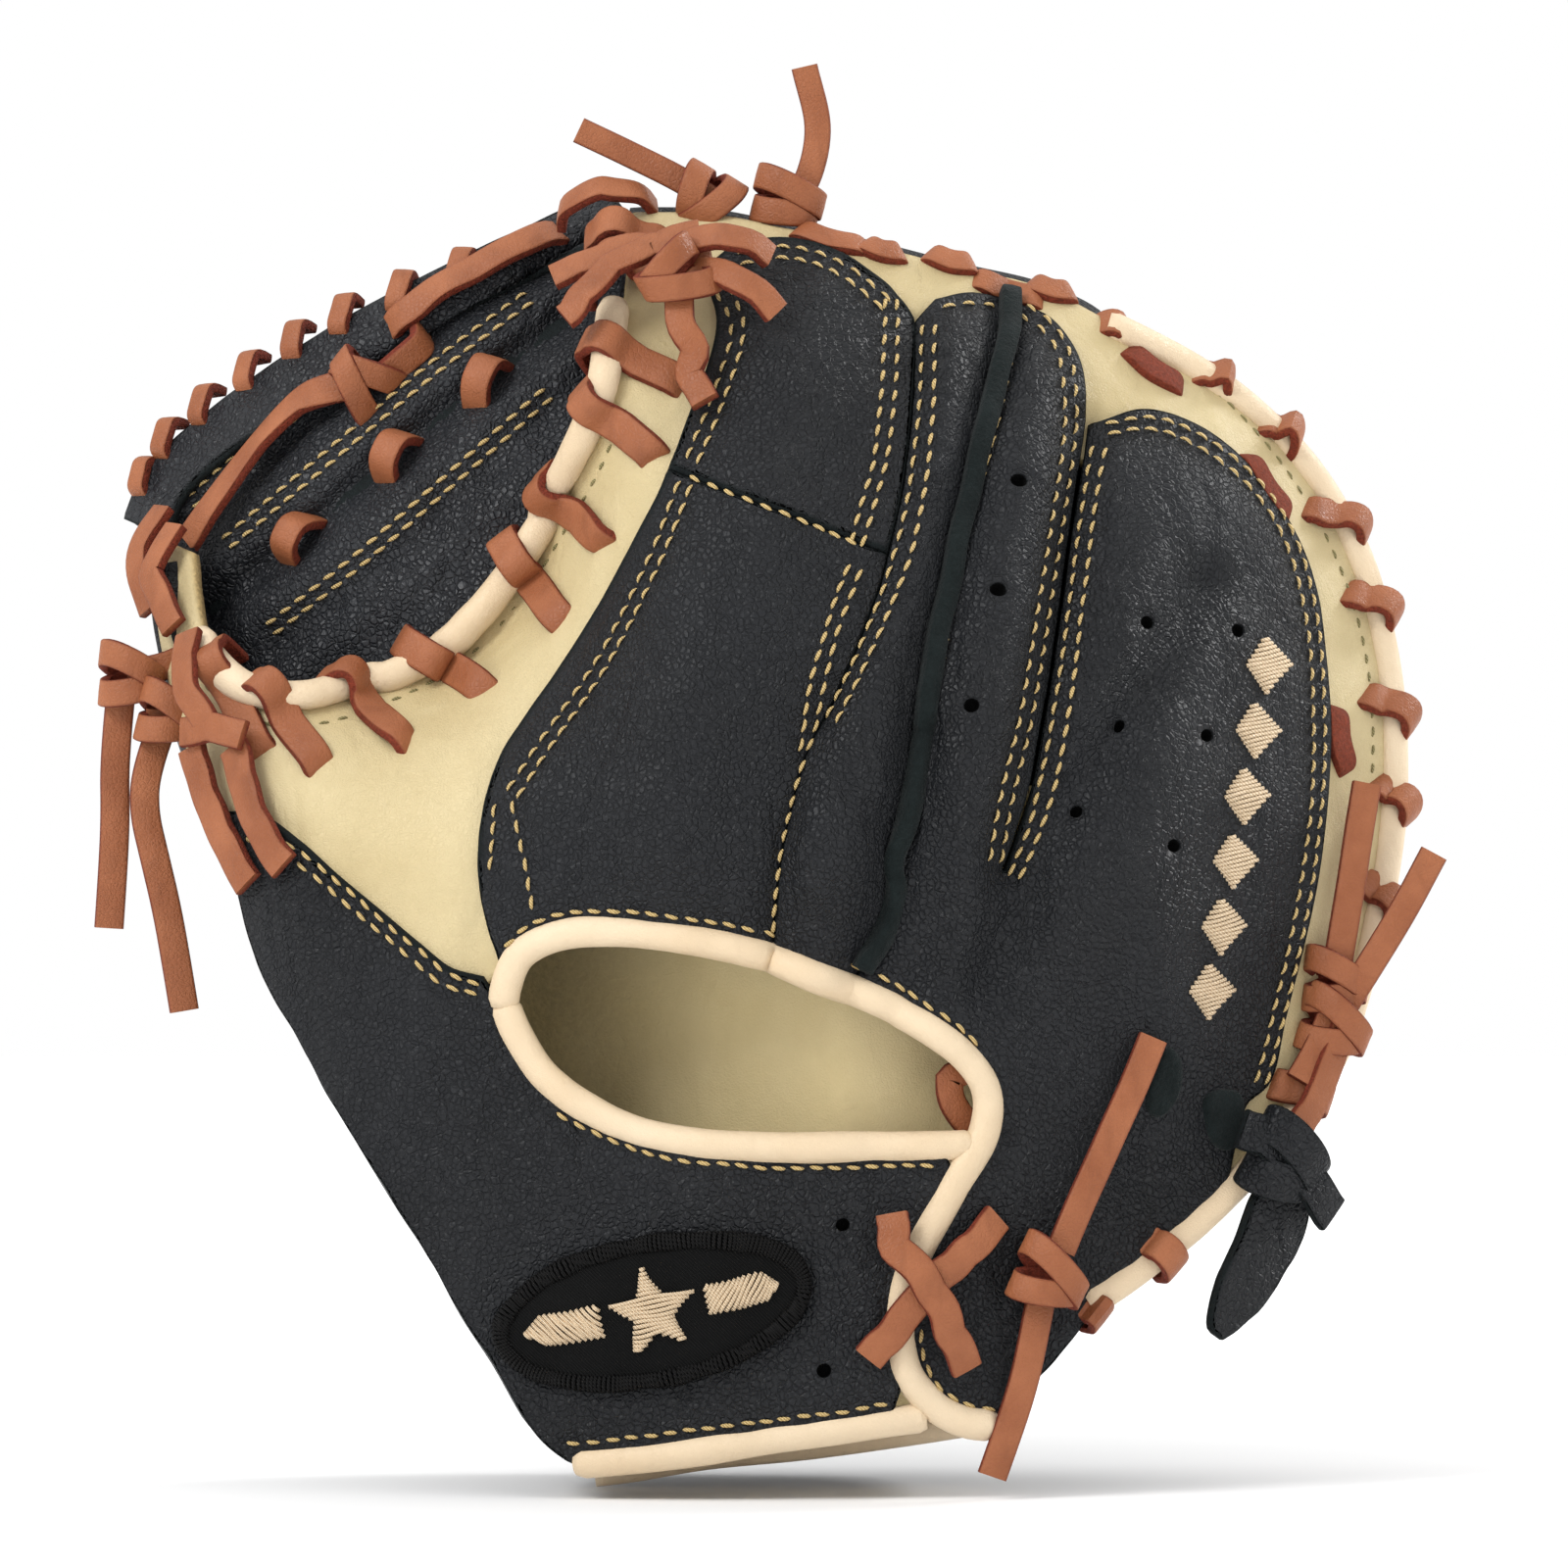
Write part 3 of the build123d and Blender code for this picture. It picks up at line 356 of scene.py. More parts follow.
def palm_front(x, z):
    """The palm side: pocket bowl inside the rim's dome."""
    dome = -233 + np.sqrt(np.maximum(330**2 - x**2 - (z - 150)**2, 100))
    span = np.hypot(x + 25, z - 150)
    bowl = 172 - np.sqrt(np.maximum(140**2 - span**2, 400))
    near = np.maximum(22 - np.abs(dome - bowl), 0) / 22
    return np.minimum(dome, bowl) - near**2 * 5.5 + 0.5 * waviness(x, z)


def lay(surface, line, lift=0.0, facing=-1):
    """Points on a surface along a line, lifted along its normal, and the normals."""
    x, z = line[:, 0], line[:, 1]
    y = surface(x, z)
    gx = (surface(x + 0.8, z) - surface(x - 0.8, z)) / 1.6
    gz = (surface(x, z + 0.8) - surface(x, z - 0.8)) / 1.6
    normal = np.stack([gx, np.full_like(x, -1.0), gz], axis=1) * -facing
    normal /= np.linalg.norm(normal, axis=1)[:, None]
    return np.stack([x, y, z], axis=1) + normal * np.asarray(lift).reshape(-1, 1), normal


# ---------------------------------------------------------------- meshes


class Mesh:
    """Vertices and faces gathered from several shapes, with one mark from 0 to 1 a vertex."""

    def __init__(self):
        self.points, self.faces, self.marks, self.count = [], [], [], 0

    def add(self, points, faces, mark=0.0):
        self.points.append(np.asarray(points, float))
        self.faces += [[int(i) + self.count for i in f] for f in faces]
        self.marks.append(np.broadcast_to(np.asarray(mark, float), (len(points),)).copy())
        self.count += len(points)

    def build(self, name, material, slot=None, sharp=None):
        mesh = bpy.data.meshes.new(name)
        mesh.from_pydata((np.vstack(self.points) * MM).tolist(), [], self.faces)
        mesh.validate()
        layer = mesh.attributes.new("mark", "FLOAT", "POINT")
        marks = np.concatenate(self.marks).astype(np.float32)
        if len(marks) == len(mesh.vertices):
            layer.data.foreach_set("value", marks)
        mesh.shade_smooth()
        if sharp:
            mesh.set_sharp_from_angle(angle=math.radians(sharp))
        mesh.materials.append(material)
        piece = bpy.data.objects.new(name, mesh)
        bpy.context.scene.collection.objects.link(piece)
        return piece


def flex(piece):
    """The piece keeps its place, its transform baked into its mesh."""
    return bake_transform(piece)


BOTH = None
LACE_SHARP = 40
LACE_STEP = 1.2


def hang(mesh, body, nodes, *look, **more):
    """Build a mesh's piece on its body, or across both halves, in place of any CAD nodes."""
    piece = mesh.build(*look, **more)
    if body is BOTH:
        flex(piece)
    else:
        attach(piece, body)
    if nodes:
        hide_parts(*nodes)


def lacing(mesh, body, nodes, name):
    hang(mesh, body, nodes, name, tan, "tan_rawhide", sharp=LACE_SHARP)


def frames(points, normals):
    """Unit vectors along a line, across it and out of it."""
    along = np.gradient(points, axis=0)
    along /= np.linalg.norm(along, axis=1)[:, None] + 1e-12
    side = np.cross(along, normals)
    side /= np.linalg.norm(side, axis=1)[:, None] + 1e-12
    return along, side, np.cross(side, along)


def sweep(mesh, section, points, normals, marks, closed=False, size=None):
    """A section of (side, up) points carried along a line."""
    _, side, up = frames(points, normals)
    if closed:
        side[0] = side[-1] = (side[0] + side[-1]) / 2
        up[0] = up[-1] = (up[0] + up[-1]) / 2
    m, n = len(section), len(points)
    grow = np.ones(n) if size is None else np.asarray(size, float)
    ring = (points[:, None] + (side[:, None] * section[:, :1] + up[:, None] * section[:, 1:])
            * grow[:, None, None])
    if closed:
        ring, n = ring[:-1], n - 1
    faces = []
    for i in range(n if closed else n - 1):
        a, b = i * m, ((i + 1) % n) * m
        faces += [(a + j, a + (j + 1) % m, b + (j + 1) % m, b + j) for j in range(m)]
    if not closed:
        faces.append(tuple(range(m))[::-1])
        faces.append(tuple((n - 1) * m + j for j in range(m)))
    mesh.add(ring.reshape(-1, 3), faces, np.tile(marks, n))


def ribbon_section(width, thickness):
    """A flat lace's section: smooth face up, raw edges, and how raw each point is."""
    w, t = width / 2, thickness / 2
    points = arr([(-w * 0.8, t * 1.02), (0, t * 1.08), (w * 0.8, t * 1.02), (w * 0.93, t * 0.9),
                  (w * 0.98, t * 0.6), (w, 0), (w * 0.98, -t * 0.7), (w * 0.92, -t), (0, -t),
                  (-w * 0.92, -t), (-w * 0.98, -t * 0.7), (-w, 0), (-w * 0.98, t * 0.6),
                  (-w * 0.93, t * 0.9)])
    raw = arr([0, 0, 0, 0.35, 1, 1, 1, 1, 1, 1, 1, 1, 1, 0.35])
    return points[::-1], raw[::-1]


def round_section(radius, flat=1.0, count=14):
    turn = np.linspace(0, math.tau, count, endpoint=False)
    points = np.stack([radius * np.cos(turn), flat * radius * np.sin(turn)], axis=1)
    return points, np.zeros(count)


def ribbon(mesh, points, normals, width=5.8, thickness=1.9, closed=False, flesh=0.0):
    """A flat lace along a line; flesh turns its smooth face to the raw side's colour."""
    section, raw = ribbon_section(width, thickness)
    sweep(mesh, section, points, normals, np.maximum(raw, flesh), closed)


def fill(outline, spacing, extra=(), holes=()):
    """Triangles that fill an outline: rings near its edge, the extra points, then a grid."""
    rim = anticlockwise(arr(outline))
    inward = leftward(rim)
    points, edges = [rim], [(i, (i + 1) % len(rim)) for i in range(len(rim))]
    count = len(rim)
    for hole in holes:
        points.append(circle(*hole))
        edges += [(count + i, count + (i + 1) % HOLE_SIDES) for i in range(HOLE_SIDES)]
        count += HOLE_SIDES
    taken = [np.vstack(points)]
    for depth in (0.3, 0.8, 1.6):
        ring = rim + inward * depth
        good = inside(ring, rim) & (distance_to(ring, rim, True) > depth * 0.9)
        taken.append(ring[good])
    for line in extra:
        line = arr(line)
        good = inside(line, rim) & (distance_to(line, rim, True) > 1.9)
        taken.append(line[good])
    low, high = rim.min(0), rim.max(0)
    xs = np.arange(low[0], high[0], spacing)
    zs = np.arange(low[1], high[1], spacing * 0.866)
    gx, gz = np.meshgrid(xs, zs)
    gx = gx + (np.arange(len(zs)) % 2)[:, None] * spacing / 2
    grid = np.stack([gx.ravel(), gz.ravel()], axis=1)
    grid = grid[inside(grid, rim)]
    keep = distance_to(grid, rim, True) > 1.6 + 0.5 * spacing
    for line in extra:
        keep &= distance_to(grid, line) > 0.5 * spacing
    for x, z, r in holes:
        keep &= np.hypot(grid[:, 0] - x, grid[:, 1] - z) > r + 0.4 * spacing
    taken.append(grid[keep])
    flat = np.vstack(taken)
    result = geometry.delaunay_2d_cdt([Vector(p) for p in flat], edges, [], 1, 1e-4)
    points, faces = arr([(p.x, p.y) for p in result[0]]), [list(f) for f in result[2]]
    faces = [f if turns_left(points, f) else f[::-1] for f in faces]
    middles = arr([points[f].mean(0) for f in faces])
    keep = np.ones(len(faces), bool)
    for x, z, r in holes:
        keep &= np.hypot(middles[:, 0] - x, middles[:, 1] - z) > r * 0.98
    faces = [f for f, k in zip(faces, keep) if k]
    return points, faces


def turns_left(points, f):
    a, b, c = points[f[0]], points[f[1]], points[f[2]]
    return (b[0] - a[0]) * (c[1] - a[1]) - (b[1] - a[1]) * (c[0] - a[0]) > 0


def edge_loops(faces):
    """Edges that have one face only, in that face's direction."""
    seen = {}
    for f in faces:
        for a, b in zip(f, f[1:] + f[:1]):
            seen[(a, b)] = True
    return [(a, b) for a, b in seen if (b, a) not in seen]


SOFT_EDGE = 0.9
STITCH_PRESS = 0.35
STITCH_DENT = 1.1
RAW_BLEND = 0.5


def leather_sheet(mesh, outline, surface, lift, thickness, spacing=2.4, rows=(), raw=1.0,
                  holes=(), facing=-1, raw_lines=None):
    """A sheet of leather with rounded, raw edges, pressed in along its stitch rows."""
    flat, faces = fill(outline, spacing, rows, holes)
    away = distance_to(flat, outline, True)
    drop = np.clip(SOFT_EDGE - away, 0, SOFT_EDGE)
    fall = SOFT_EDGE - np.sqrt(np.maximum(SOFT_EDGE**2 - drop**2, 0))
    dent = np.zeros(len(flat))
    for row in rows:
        dent = np.maximum(dent, np.exp(-(distance_to(flat, row) / STITCH_DENT)**2))
    top, normal = lay(surface, flat, lift, facing)
    top = top - normal * (fall + STITCH_PRESS * dent)[:, None]
    under = lay(surface, flat, lift - thickness, facing)[0]
    mark = np.clip((raw - away) / RAW_BLEND, 0, 1)
    if raw_lines is not None:
        mark = np.where(away < 0.6, 1.0, 0.0)
        for line, width in raw_lines:
            near = np.clip((width - distance_to(flat, line)) / RAW_BLEND, 0, 1)
            mark = np.maximum(mark, near)
    n = len(flat)
    if facing > 0:
        faces = [f[::-1] for f in faces]
    sides = [(a, a + n, b + n, b) for a, b in edge_loops(faces)]
    faces = [list(f) for f in faces]
    mesh.add(np.vstack([top, under]),
             faces + [[i + n for i in f[::-1]] for f in faces] + [list(s) for s in sides],
             np.concatenate([mark, np.ones(n)]))


STITCH_PITCH = 3.6
BEAD_RINGS = 7
BEAD_SIDES = 6


def tube_faces(rings, sides):
    """The faces between rings of points that follow each other."""
    return [(i * sides + j, i * sides + (j + 1) % sides, (i + 1) * sides + (j + 1) % sides,
             (i + 1) * sides + j) for i in range(rings - 1) for j in range(sides)]


def stitches(mesh, row, surface, lift, length=2.7, width=0.82, facing=-1):
    """A row of thread stitches, each a small arched bead that dips into the leather."""
    line = even(arr(row), STITCH_PITCH, False)
    middle = (line[1:] + line[:-1]) / 2
    points, normal = lay(surface, middle, lift, facing)
    ends = lay(surface, line, lift, facing)[0]
    along = ends[1:] - ends[:-1]
    along /= np.linalg.norm(along, axis=1)[:, None] + TINY
    side = np.cross(along, normal)
    stations = np.linspace(-1, 1, BEAD_RINGS)
    n = BEAD_SIDES
    turn = np.linspace(0, math.tau, n, endpoint=False)
    local = []
    for s in stations:
        r = 0.5 * width * (1 - abs(s)**3)**0.5 if abs(s) < 1 else 0.08
        for t in turn:
            local.append((s * length / 2, r * math.cos(t) + 0.22 * width * s,
                          0.7 * r * math.sin(t) + 0.18 - 0.5 * s * s))
    local = arr(local)
    faces = tube_faces(BEAD_RINGS, n) + [tuple(range(n))[::-1],
                                         tuple((BEAD_RINGS - 1) * n + j for j in range(n))]
    for p, a, s, up in zip(points, along, side, normal):
        mesh.add(p + local[:, :1] * a + local[:, 1:2] * s + local[:, 2:] * up, faces)


def lace_bar(mesh, start, end, surface, top=1.3, bow=0.0, over=0.0, width=6.2, dive=2.4,
             facing=-1, power=7, flesh=0.0):
    """A lace that comes out of one hole, arches, and goes into another."""
    a, b = arr(start), arr(end)
    span = b - a
    length = np.linalg.norm(span)
    t = np.linspace(0, 1, 26)
    across = arr([-span[1], span[0]]) / length
    line = a + span * t[:, None] + across * (bow * np.sin(math.pi * t))[:, None]
    lift = -dive + (top + dive) * (1 - np.abs(2 * t - 1)**power)
    lift = lift + over * np.exp(-((t - 0.5) / 0.26)**2)
    points, normal = lay(surface, line, lift, facing)
    ribbon(mesh, points, normal, width, flesh=flesh)


def wrap(mesh, start, end, rolls, reach=4.4, drop=5.0, radius=3.0, lift=0.6, width=6.6):
    """A lace from a hole at start, flat to a rolled binding, tight over it, and down past it."""
    a, b = arr(start), arr(end)
    run = (b - a) / np.linalg.norm(b - a)
    u = np.linspace(0, np.linalg.norm(b - a) + 4, 90)
    line = a + run * u[:, None]
    middle = u[int(np.argmin(distance_to(line, rolls)))]
    top = lift + radius + 1.0
    profile = [(0.0, -2.6), (0.7, -0.6), (1.9, 0.9), (3.2, 1.2), (middle - 5.4, 1.2),
               (middle - 3.7, 2.1), (middle - 1.9, top - 0.8), (middle, top),
               (middle + 1.9, top - 0.8), (middle + 3.5, top - 2.7), (middle + reach, top - 5.0),
               (middle + reach - 0.4, lift - drop)]
    profile = [p for i, p in enumerate(profile) if i < 4 or p[0] > 4.0]
    path = smooth(profile, 0.8, 120)
    flat = a + run * path[:, :1]
    base, normal = lay(back, flat, 0.0)
    middle_normal = normal[int(np.argmin(np.abs(path[:, 0] - middle)))]
    share = np.clip((path[:, 0] - middle + 6) / 5, 0, 1)[:, None]
    normal = normal * (1 - share) + middle_normal * share
    at_middle = lay(back, (a + run * middle)[None], 0.0)[0][0]
    side = arr([run[0], 0.0, run[1]])
    side = side - middle_normal * (side @ middle_normal)
    side /= np.linalg.norm(side)
    far = at_middle + side * (path[:, :1] - middle)
    points = (base * (1 - share) + far * share) + normal * path[:, 1:]
    along = np.gradient(points, axis=0)
    across = np.cross(side, middle_normal)
    outward = np.cross(along, np.tile(across, (len(along), 1)))
    outward *= np.sign(outward[len(outward) // 2] @ middle_normal)
    ribbon(mesh, points, outward, width)


def strand(mesh, points, width=5.6):
    """A lace along points in space, its smooth face to the back."""
    line = smooth(points, LACE_STEP, 80)
    ribbon(mesh, line, np.tile(arr([0, -1, 0]), (len(line), 1)), width)


def laid(mesh, points, lift, width=5.8, surface=back):
    """A lace through points on a surface, lifted by a height, a height at either end, or a
    function from 0 at its start to 1 at its end."""
    line = smooth(points, LACE_STEP)
    if isinstance(lift, tuple):
        lift = np.linspace(*lift, len(line))
    elif callable(lift):
        lift = lift(np.linspace(0, 1, len(line)))
    ribbon(mesh, *lay(surface, line, lift), width)


def knot(mesh, centre, along, reach, width=5.4, slant=0.35, facing=(0, -1, 0)):
    """An overhand knot of flat lace: one turn round the standing part and a slanting one over."""
    c, up = arr(centre), arr(facing)
    u = arr(along)
    u /= np.linalg.norm(u)
    v = np.cross(u, up)
    v /= np.linalg.norm(v)
    w = np.cross(v, u)
    w = w if w @ up > 0 else -w
    for shift, lean, grow in ((-1.7, slant, 1.0), (2.0, -slant * 1.5, 1.12)):
        turn = np.linspace(0, math.tau, 41)
        ring = (c + u * shift + v * (reach[0] * grow * np.cos(turn))[:, None]
                + w * (reach[1] * grow * np.sin(turn))[:, None]
                + u * (lean * reach[0] * np.cos(turn + 0.5))[:, None])
        out = (v * (np.cos(turn) / reach[0])[:, None] + w * (np.sin(turn) / reach[1])[:, None])
        ribbon(mesh, ring, out / np.linalg.norm(out, axis=1)[:, None], width, 2.0, closed=True)


def knot_on(mesh, surface, where, lift, along, reach, width=5.4):
    place, out = lay(surface, arr([where]), lift)
    knot(mesh, place[0], along, reach, width, facing=out[0])


# ---------------------------------------------------------------- materials


class Paint:
    """A short way to write a node material."""

    def __init__(self, name, roughness=0.5, specular=0.5, sheen=0.0):
        self.material = bpy.data.materials.new(name)
        self.material.use_nodes = True
        self.tree = self.material.node_tree
        self.shader = self.tree.nodes["Principled BSDF"]
        self.shader.inputs["Roughness"].default_value = roughness
        self.shader.inputs["Specular IOR Level"].default_value = specular
        self.shader.inputs["Sheen Weight"].default_value = sheen
        self.where = self.node("ShaderNodeTexCoord").outputs["Object"]
        self.bumps = None

    def node(self, kind, **inputs):
        made = self.tree.nodes.new(kind)
        for key, value in inputs.items():
            self.put(made, key.replace("_", " "), value)
        return made

    def put(self, node, key, value):
        numbered = key[0] == "i" and key[1:].isdigit()
        socket = node.inputs[int(key[1:]) if numbered else key]
        if isinstance(value, bpy.types.NodeSocket):
            self.tree.links.new(value, socket)
        else:
            socket.default_value = value

    def noise(self, scale, detail=4.0, roughness=0.55, stretch=None, distortion=0.0):
        where = self.where
        if stretch:
            turned = self.node("ShaderNodeMapping", Vector=where)
            turned.inputs["Scale"].default_value = stretch[:3]
            if len(stretch) > 3:
                turned.inputs["Rotation"].default_value = (0, stretch[3], 0)
            where = turned.outputs["Vector"]
        made = self.node("ShaderNodeTexNoise", Vector=where, Scale=scale, Detail=detail,
                         Roughness=roughness, Distortion=distortion)
        return made.outputs["Fac"]

    def cells(self, scale, warp=0.0):
        where = self.where
        if warp:
            bent = self.node("ShaderNodeTexNoise", Vector=where, Scale=scale * 0.6, Detail=2.0)
            moved = self.node("ShaderNodeVectorMath", i0=bent.outputs["Color"])
            moved.operation = "SCALE"
            moved.inputs["Scale"].default_value = warp
            sum_node = self.node("ShaderNodeVectorMath", i0=where, i1=moved.outputs["Vector"])
            where = sum_node.outputs["Vector"]
        made = self.node("ShaderNodeTexVoronoi", Vector=where)
        made.feature = "DISTANCE_TO_EDGE"
        made.inputs["Scale"].default_value = scale
        return made.outputs["Distance"]

    def ramp(self, value, low, high, a=0.0, b=1.0):
        made = self.node("ShaderNodeMapRange", Value=value, From_Min=low, From_Max=high,
                         To_Min=a, To_Max=b)
        return made.outputs["Result"]

    def mix(self, share, a, b):
        made = self.tree.nodes.new("ShaderNodeMix")
        made.data_type = "RGBA"
        for key, value in ((0, share), (6, a), (7, b)):
            if isinstance(value, bpy.types.NodeSocket):
                self.tree.links.new(value, made.inputs[key])
            elif key == 0:
                made.inputs[key].default_value = value
            else:
                made.inputs[key].default_value = (*value, 1.0)
        return made.outputs[2]

    def times(self, a, b, kind="MULTIPLY"):
        made = self.tree.nodes.new("ShaderNodeMath")
        made.operation = kind
        for i, value in enumerate((a, b)):
            if isinstance(value, bpy.types.NodeSocket):
                self.tree.links.new(value, made.inputs[i])
            else:
                made.inputs[i].default_value = value
        return made.outputs[0]

    def mark(self):
        made = self.tree.nodes.new("ShaderNodeAttribute")
        made.attribute_name = "mark"
        return made.outputs["Fac"]

    def bump(self, height, distance):
        made = self.node("ShaderNodeBump", Height=height, Distance=distance, Strength=1.0)
        if self.bumps is not None:
            self.tree.links.new(self.bumps, made.inputs["Normal"])
        self.bumps = made.outputs["Normal"]

    def done(self, colour=None, roughness=None):
        if colour is not None:
            self.tree.links.new(colour, self.shader.inputs["Base Color"])
        if roughness is not None:
            self.tree.links.new(roughness, self.shader.inputs["Roughness"])
        if self.bumps is not None:
            self.tree.links.new(self.bumps, self.shader.inputs["Normal"])
        return self.material


def times(colour, factor):
    return tuple(factor * c for c in colour)


def grained(name, dark, light, raw, rough, grain, cell, wrinkle, specular, seams=0.22):
    """Leather: pebbled grain, fine wrinkles, cloudy colour, and raw suede where marked; on the hand
    lining the mark and raw colour paint shade instead.
    """
    p = Paint(name, specular=specular)
    cloud = p.noise(28, 4)
    fine = p.noise(420, 3, 0.6)
    pebbles = p.ramp(p.cells(cell, warp=0.0012), 0.0, 0.22)
    folds = p.noise(60, 2.5, 0.5, (1.0, 1.0, 0.35, 0.5), 0.6)
    edge = p.mark()
    colour = p.mix(p.ramp(cloud, 0.32, 0.68), dark, light)
    colour = p.mix(p.ramp(pebbles, 0.0, 0.5, seams, 0.0), colour, times(dark, 0.4))
    furrows = p.noise(190, 3, 0.5, (1.0, 1.0, 0.5, 0.7), 1.2)
    fuzz = p.noise(900, 4, 0.7)
    raw_suede_or_painted_shade = p.mix(p.ramp(fuzz, 0.3, 0.7), times(raw, 0.6), times(raw, 1.35))
    colour = p.mix(edge, colour, raw_suede_or_painted_shade)
    roughness = p.ramp(cloud, 0.3, 0.7, rough[0], rough[1])
    roughness = p.times(roughness, p.ramp(edge, 0.0, 1.0, 0.0, 0.45), "ADD")
    smooth_part = p.ramp(edge, 0.0, 1.0, 1.0, 0.0)
    p.bump(p.times(p.ramp(folds, 0.35, 0.65), smooth_part), wrinkle)
    p.bump(p.times(p.ramp(furrows, 0.3, 0.7), smooth_part), 0.25 * wrinkle)
    p.bump(p.times(pebbles, smooth_part), grain)
    p.bump(fine, grain * 0.35)
    p.bump(p.times(fuzz, edge), 0.0006)
    return p.done(colour, roughness)


black = grained("black_leather", (0.0105, 0.0113, 0.0130), (0.0155, 0.0167, 0.0193),
                (0.005, 0.008, 0.0085), rough=(0.40, 0.5), specular=0.22, grain=0.00028,
                wrinkle=0.0014, cell=820)
web_black = grained("web_leather", (0.0145, 0.0155, 0.0185), (0.021, 0.023, 0.027),
                    (0.006, 0.010, 0.0105), rough=(0.38, 0.46), specular=0.34, grain=0.00028,
                    wrinkle=0.0014, cell=820)
khaki = grained("khaki_leather", (0.55, 0.435, 0.225), (0.645, 0.53, 0.30), (0.42, 0.30, 0.13),
                rough=(0.40, 0.52), grain=0.00006, cell=1500, wrinkle=0.0006, specular=0.4,
                seams=0.04)
# The lining's third colour is not raw suede: through the liner's mark it is painted shade at the
# thumb end.
lining = grained("lining_leather", (0.70, 0.56, 0.28), (0.80, 0.66, 0.37), (0.15, 0.115, 0.05),
                 rough=(0.5, 0.62), grain=0.00005, cell=1500, wrinkle=0.0004, specular=0.35,
                 seams=0.03)
cream = grained("cream_binding", (0.72, 0.55, 0.355), (0.80, 0.645, 0.45), (0.66, 0.45, 0.24),
                rough=(0.36, 0.48), grain=0.00004, cell=1600, wrinkle=0.0005, specular=0.4,
                seams=0.02)


def rawhide(name, dark, light, raw):
    """Lacing: a smooth tan face with a long grain, and rust-red fuzzy edges."""
    p = Paint(name, specular=0.3)
    cloud = p.noise(75, 4)
    long_grain = p.noise(230, 2, 0.5, (1, 1, 0.4), 0.4)
    pores = p.ramp(p.cells(1100), 0.0, 0.2)
    fuzz = p.noise(1400, 3, 0.75)
    edge = p.mark()
    face = p.mix(p.ramp(cloud, 0.3, 0.7), dark, light)
    face = p.mix(p.ramp(long_grain, 0.55, 0.8, 0.0, 0.35), face, times(dark, 0.6))
    rough_edge = p.mix(p.ramp(fuzz, 0.3, 0.7), times(raw, 0.55), times(raw, 1.4))
    p.bump(long_grain, 0.0003)
    p.bump(pores, 0.00006)
    p.bump(p.times(fuzz, edge), 0.0006)
    roughness = p.times(p.ramp(cloud, 0.3, 0.7, 0.42, 0.55), p.times(edge, 0.35), "ADD")
    return p.done(p.mix(edge, face, rough_edge), roughness)


tan = rawhide("tan_rawhide", (0.265, 0.082, 0.031), (0.375, 0.132, 0.056), (0.185, 0.030, 0.013))


def suede(name, colour, light):
    p = Paint(name, roughness=0.95, specular=0.1, sheen=0.08)
    fuzz = p.noise(1100, 4, 0.75)
    naps = p.noise(160, 4, 0.65)
    mixed = p.mix(p.ramp(naps, 0.3, 0.7), colour, light)
    mixed = p.mix(p.ramp(fuzz, 0.35, 0.7, 0.0, 0.5), mixed, times(colour, 0.4))
    p.bump(naps, 0.0006)
    p.bump(fuzz, 0.0005)
    return p.done(mixed)


dark_suede = suede("raw_suede", (0.0075, 0.0115, 0.0115), (0.0145, 0.021, 0.021))


def thread(name, colour, dark, specular=0.35):
    """Waxed thread: fine twisted strands."""
    p = Paint(name, roughness=0.55, specular=specular)
    turned = p.node("ShaderNodeMapping", Vector=p.where)
    turned.inputs["Rotation"].default_value = (0, 0.8, 0)
    waves = p.node("ShaderNodeTexWave", Vector=turned.outputs["Vector"], Scale=620.0)
    waves.inputs["Distortion"].default_value = 1.2
    fuzz = p.noise(2200, 3, 0.7)
    mixed = p.mix(p.ramp(waves.outputs["Fac"], 0.1, 0.6), dark, colour)
    mixed = p.mix(p.ramp(fuzz, 0.5, 0.8, 0.0, 0.3), mixed, dark)
    p.bump(waves.outputs["Fac"], 0.00025)
    return p.done(mixed)


cream_thread = thread("cream_thread", (0.80, 0.60, 0.27), (0.50, 0.33, 0.12))
dull_thread = thread("khaki_thread", (0.36, 0.31, 0.14), (0.20, 0.17, 0.07))
satin_cream = thread("satin_cream", (0.90, 0.72, 0.50), (0.66, 0.47, 0.28))
satin_black = thread("satin_black", (0.010, 0.0095, 0.0095), (0.003, 0.003, 0.003), 0.14)
patch_felt = thread("patch_felt", (0.007, 0.007, 0.007), (0.003, 0.003, 0.003), 0.1)


def felt(name, colour):
    p = Paint(name, roughness=0.9, specular=0.1)
    fuzz = p.noise(700, 5, 0.7)
    p.bump(fuzz, 0.0005)
    return p.done(p.mix(p.ramp(fuzz, 0.3, 0.7), colour, times(colour, 0.5)))


# Near-black, darker than the leather: painted shade for the inside of the vent holes
hole_shade_felt = felt("hole_inside", (0.004, 0.004, 0.004))

# ---------------------------------------------------------------- camera, light, floor

FLOOR_Z = cad_low.z
camera_data = bpy.data.cameras.new("camera")
camera_data.lens = 300
camera_data.sensor_width = 36
camera_data.clip_end = 60
camera = bpy.data.objects.new("camera", camera_data)
bpy.context.scene.collection.objects.link(camera)
bpy.context.scene.camera = camera
VIEW_WIDTH = 304.0
AIM = Vector((3.8, 7.0, 136.8)) * MM
DISTANCE = VIEW_WIDTH * MM * camera_data.lens / camera_data.sensor_width
ELEVATION = math.radians(1.0)
camera.location = AIM + DISTANCE * Vector((0, -math.cos(ELEVATION), math.sin(ELEVATION)))
camera.rotation_euler = (math.pi / 2 - ELEVATION, 0, 0)


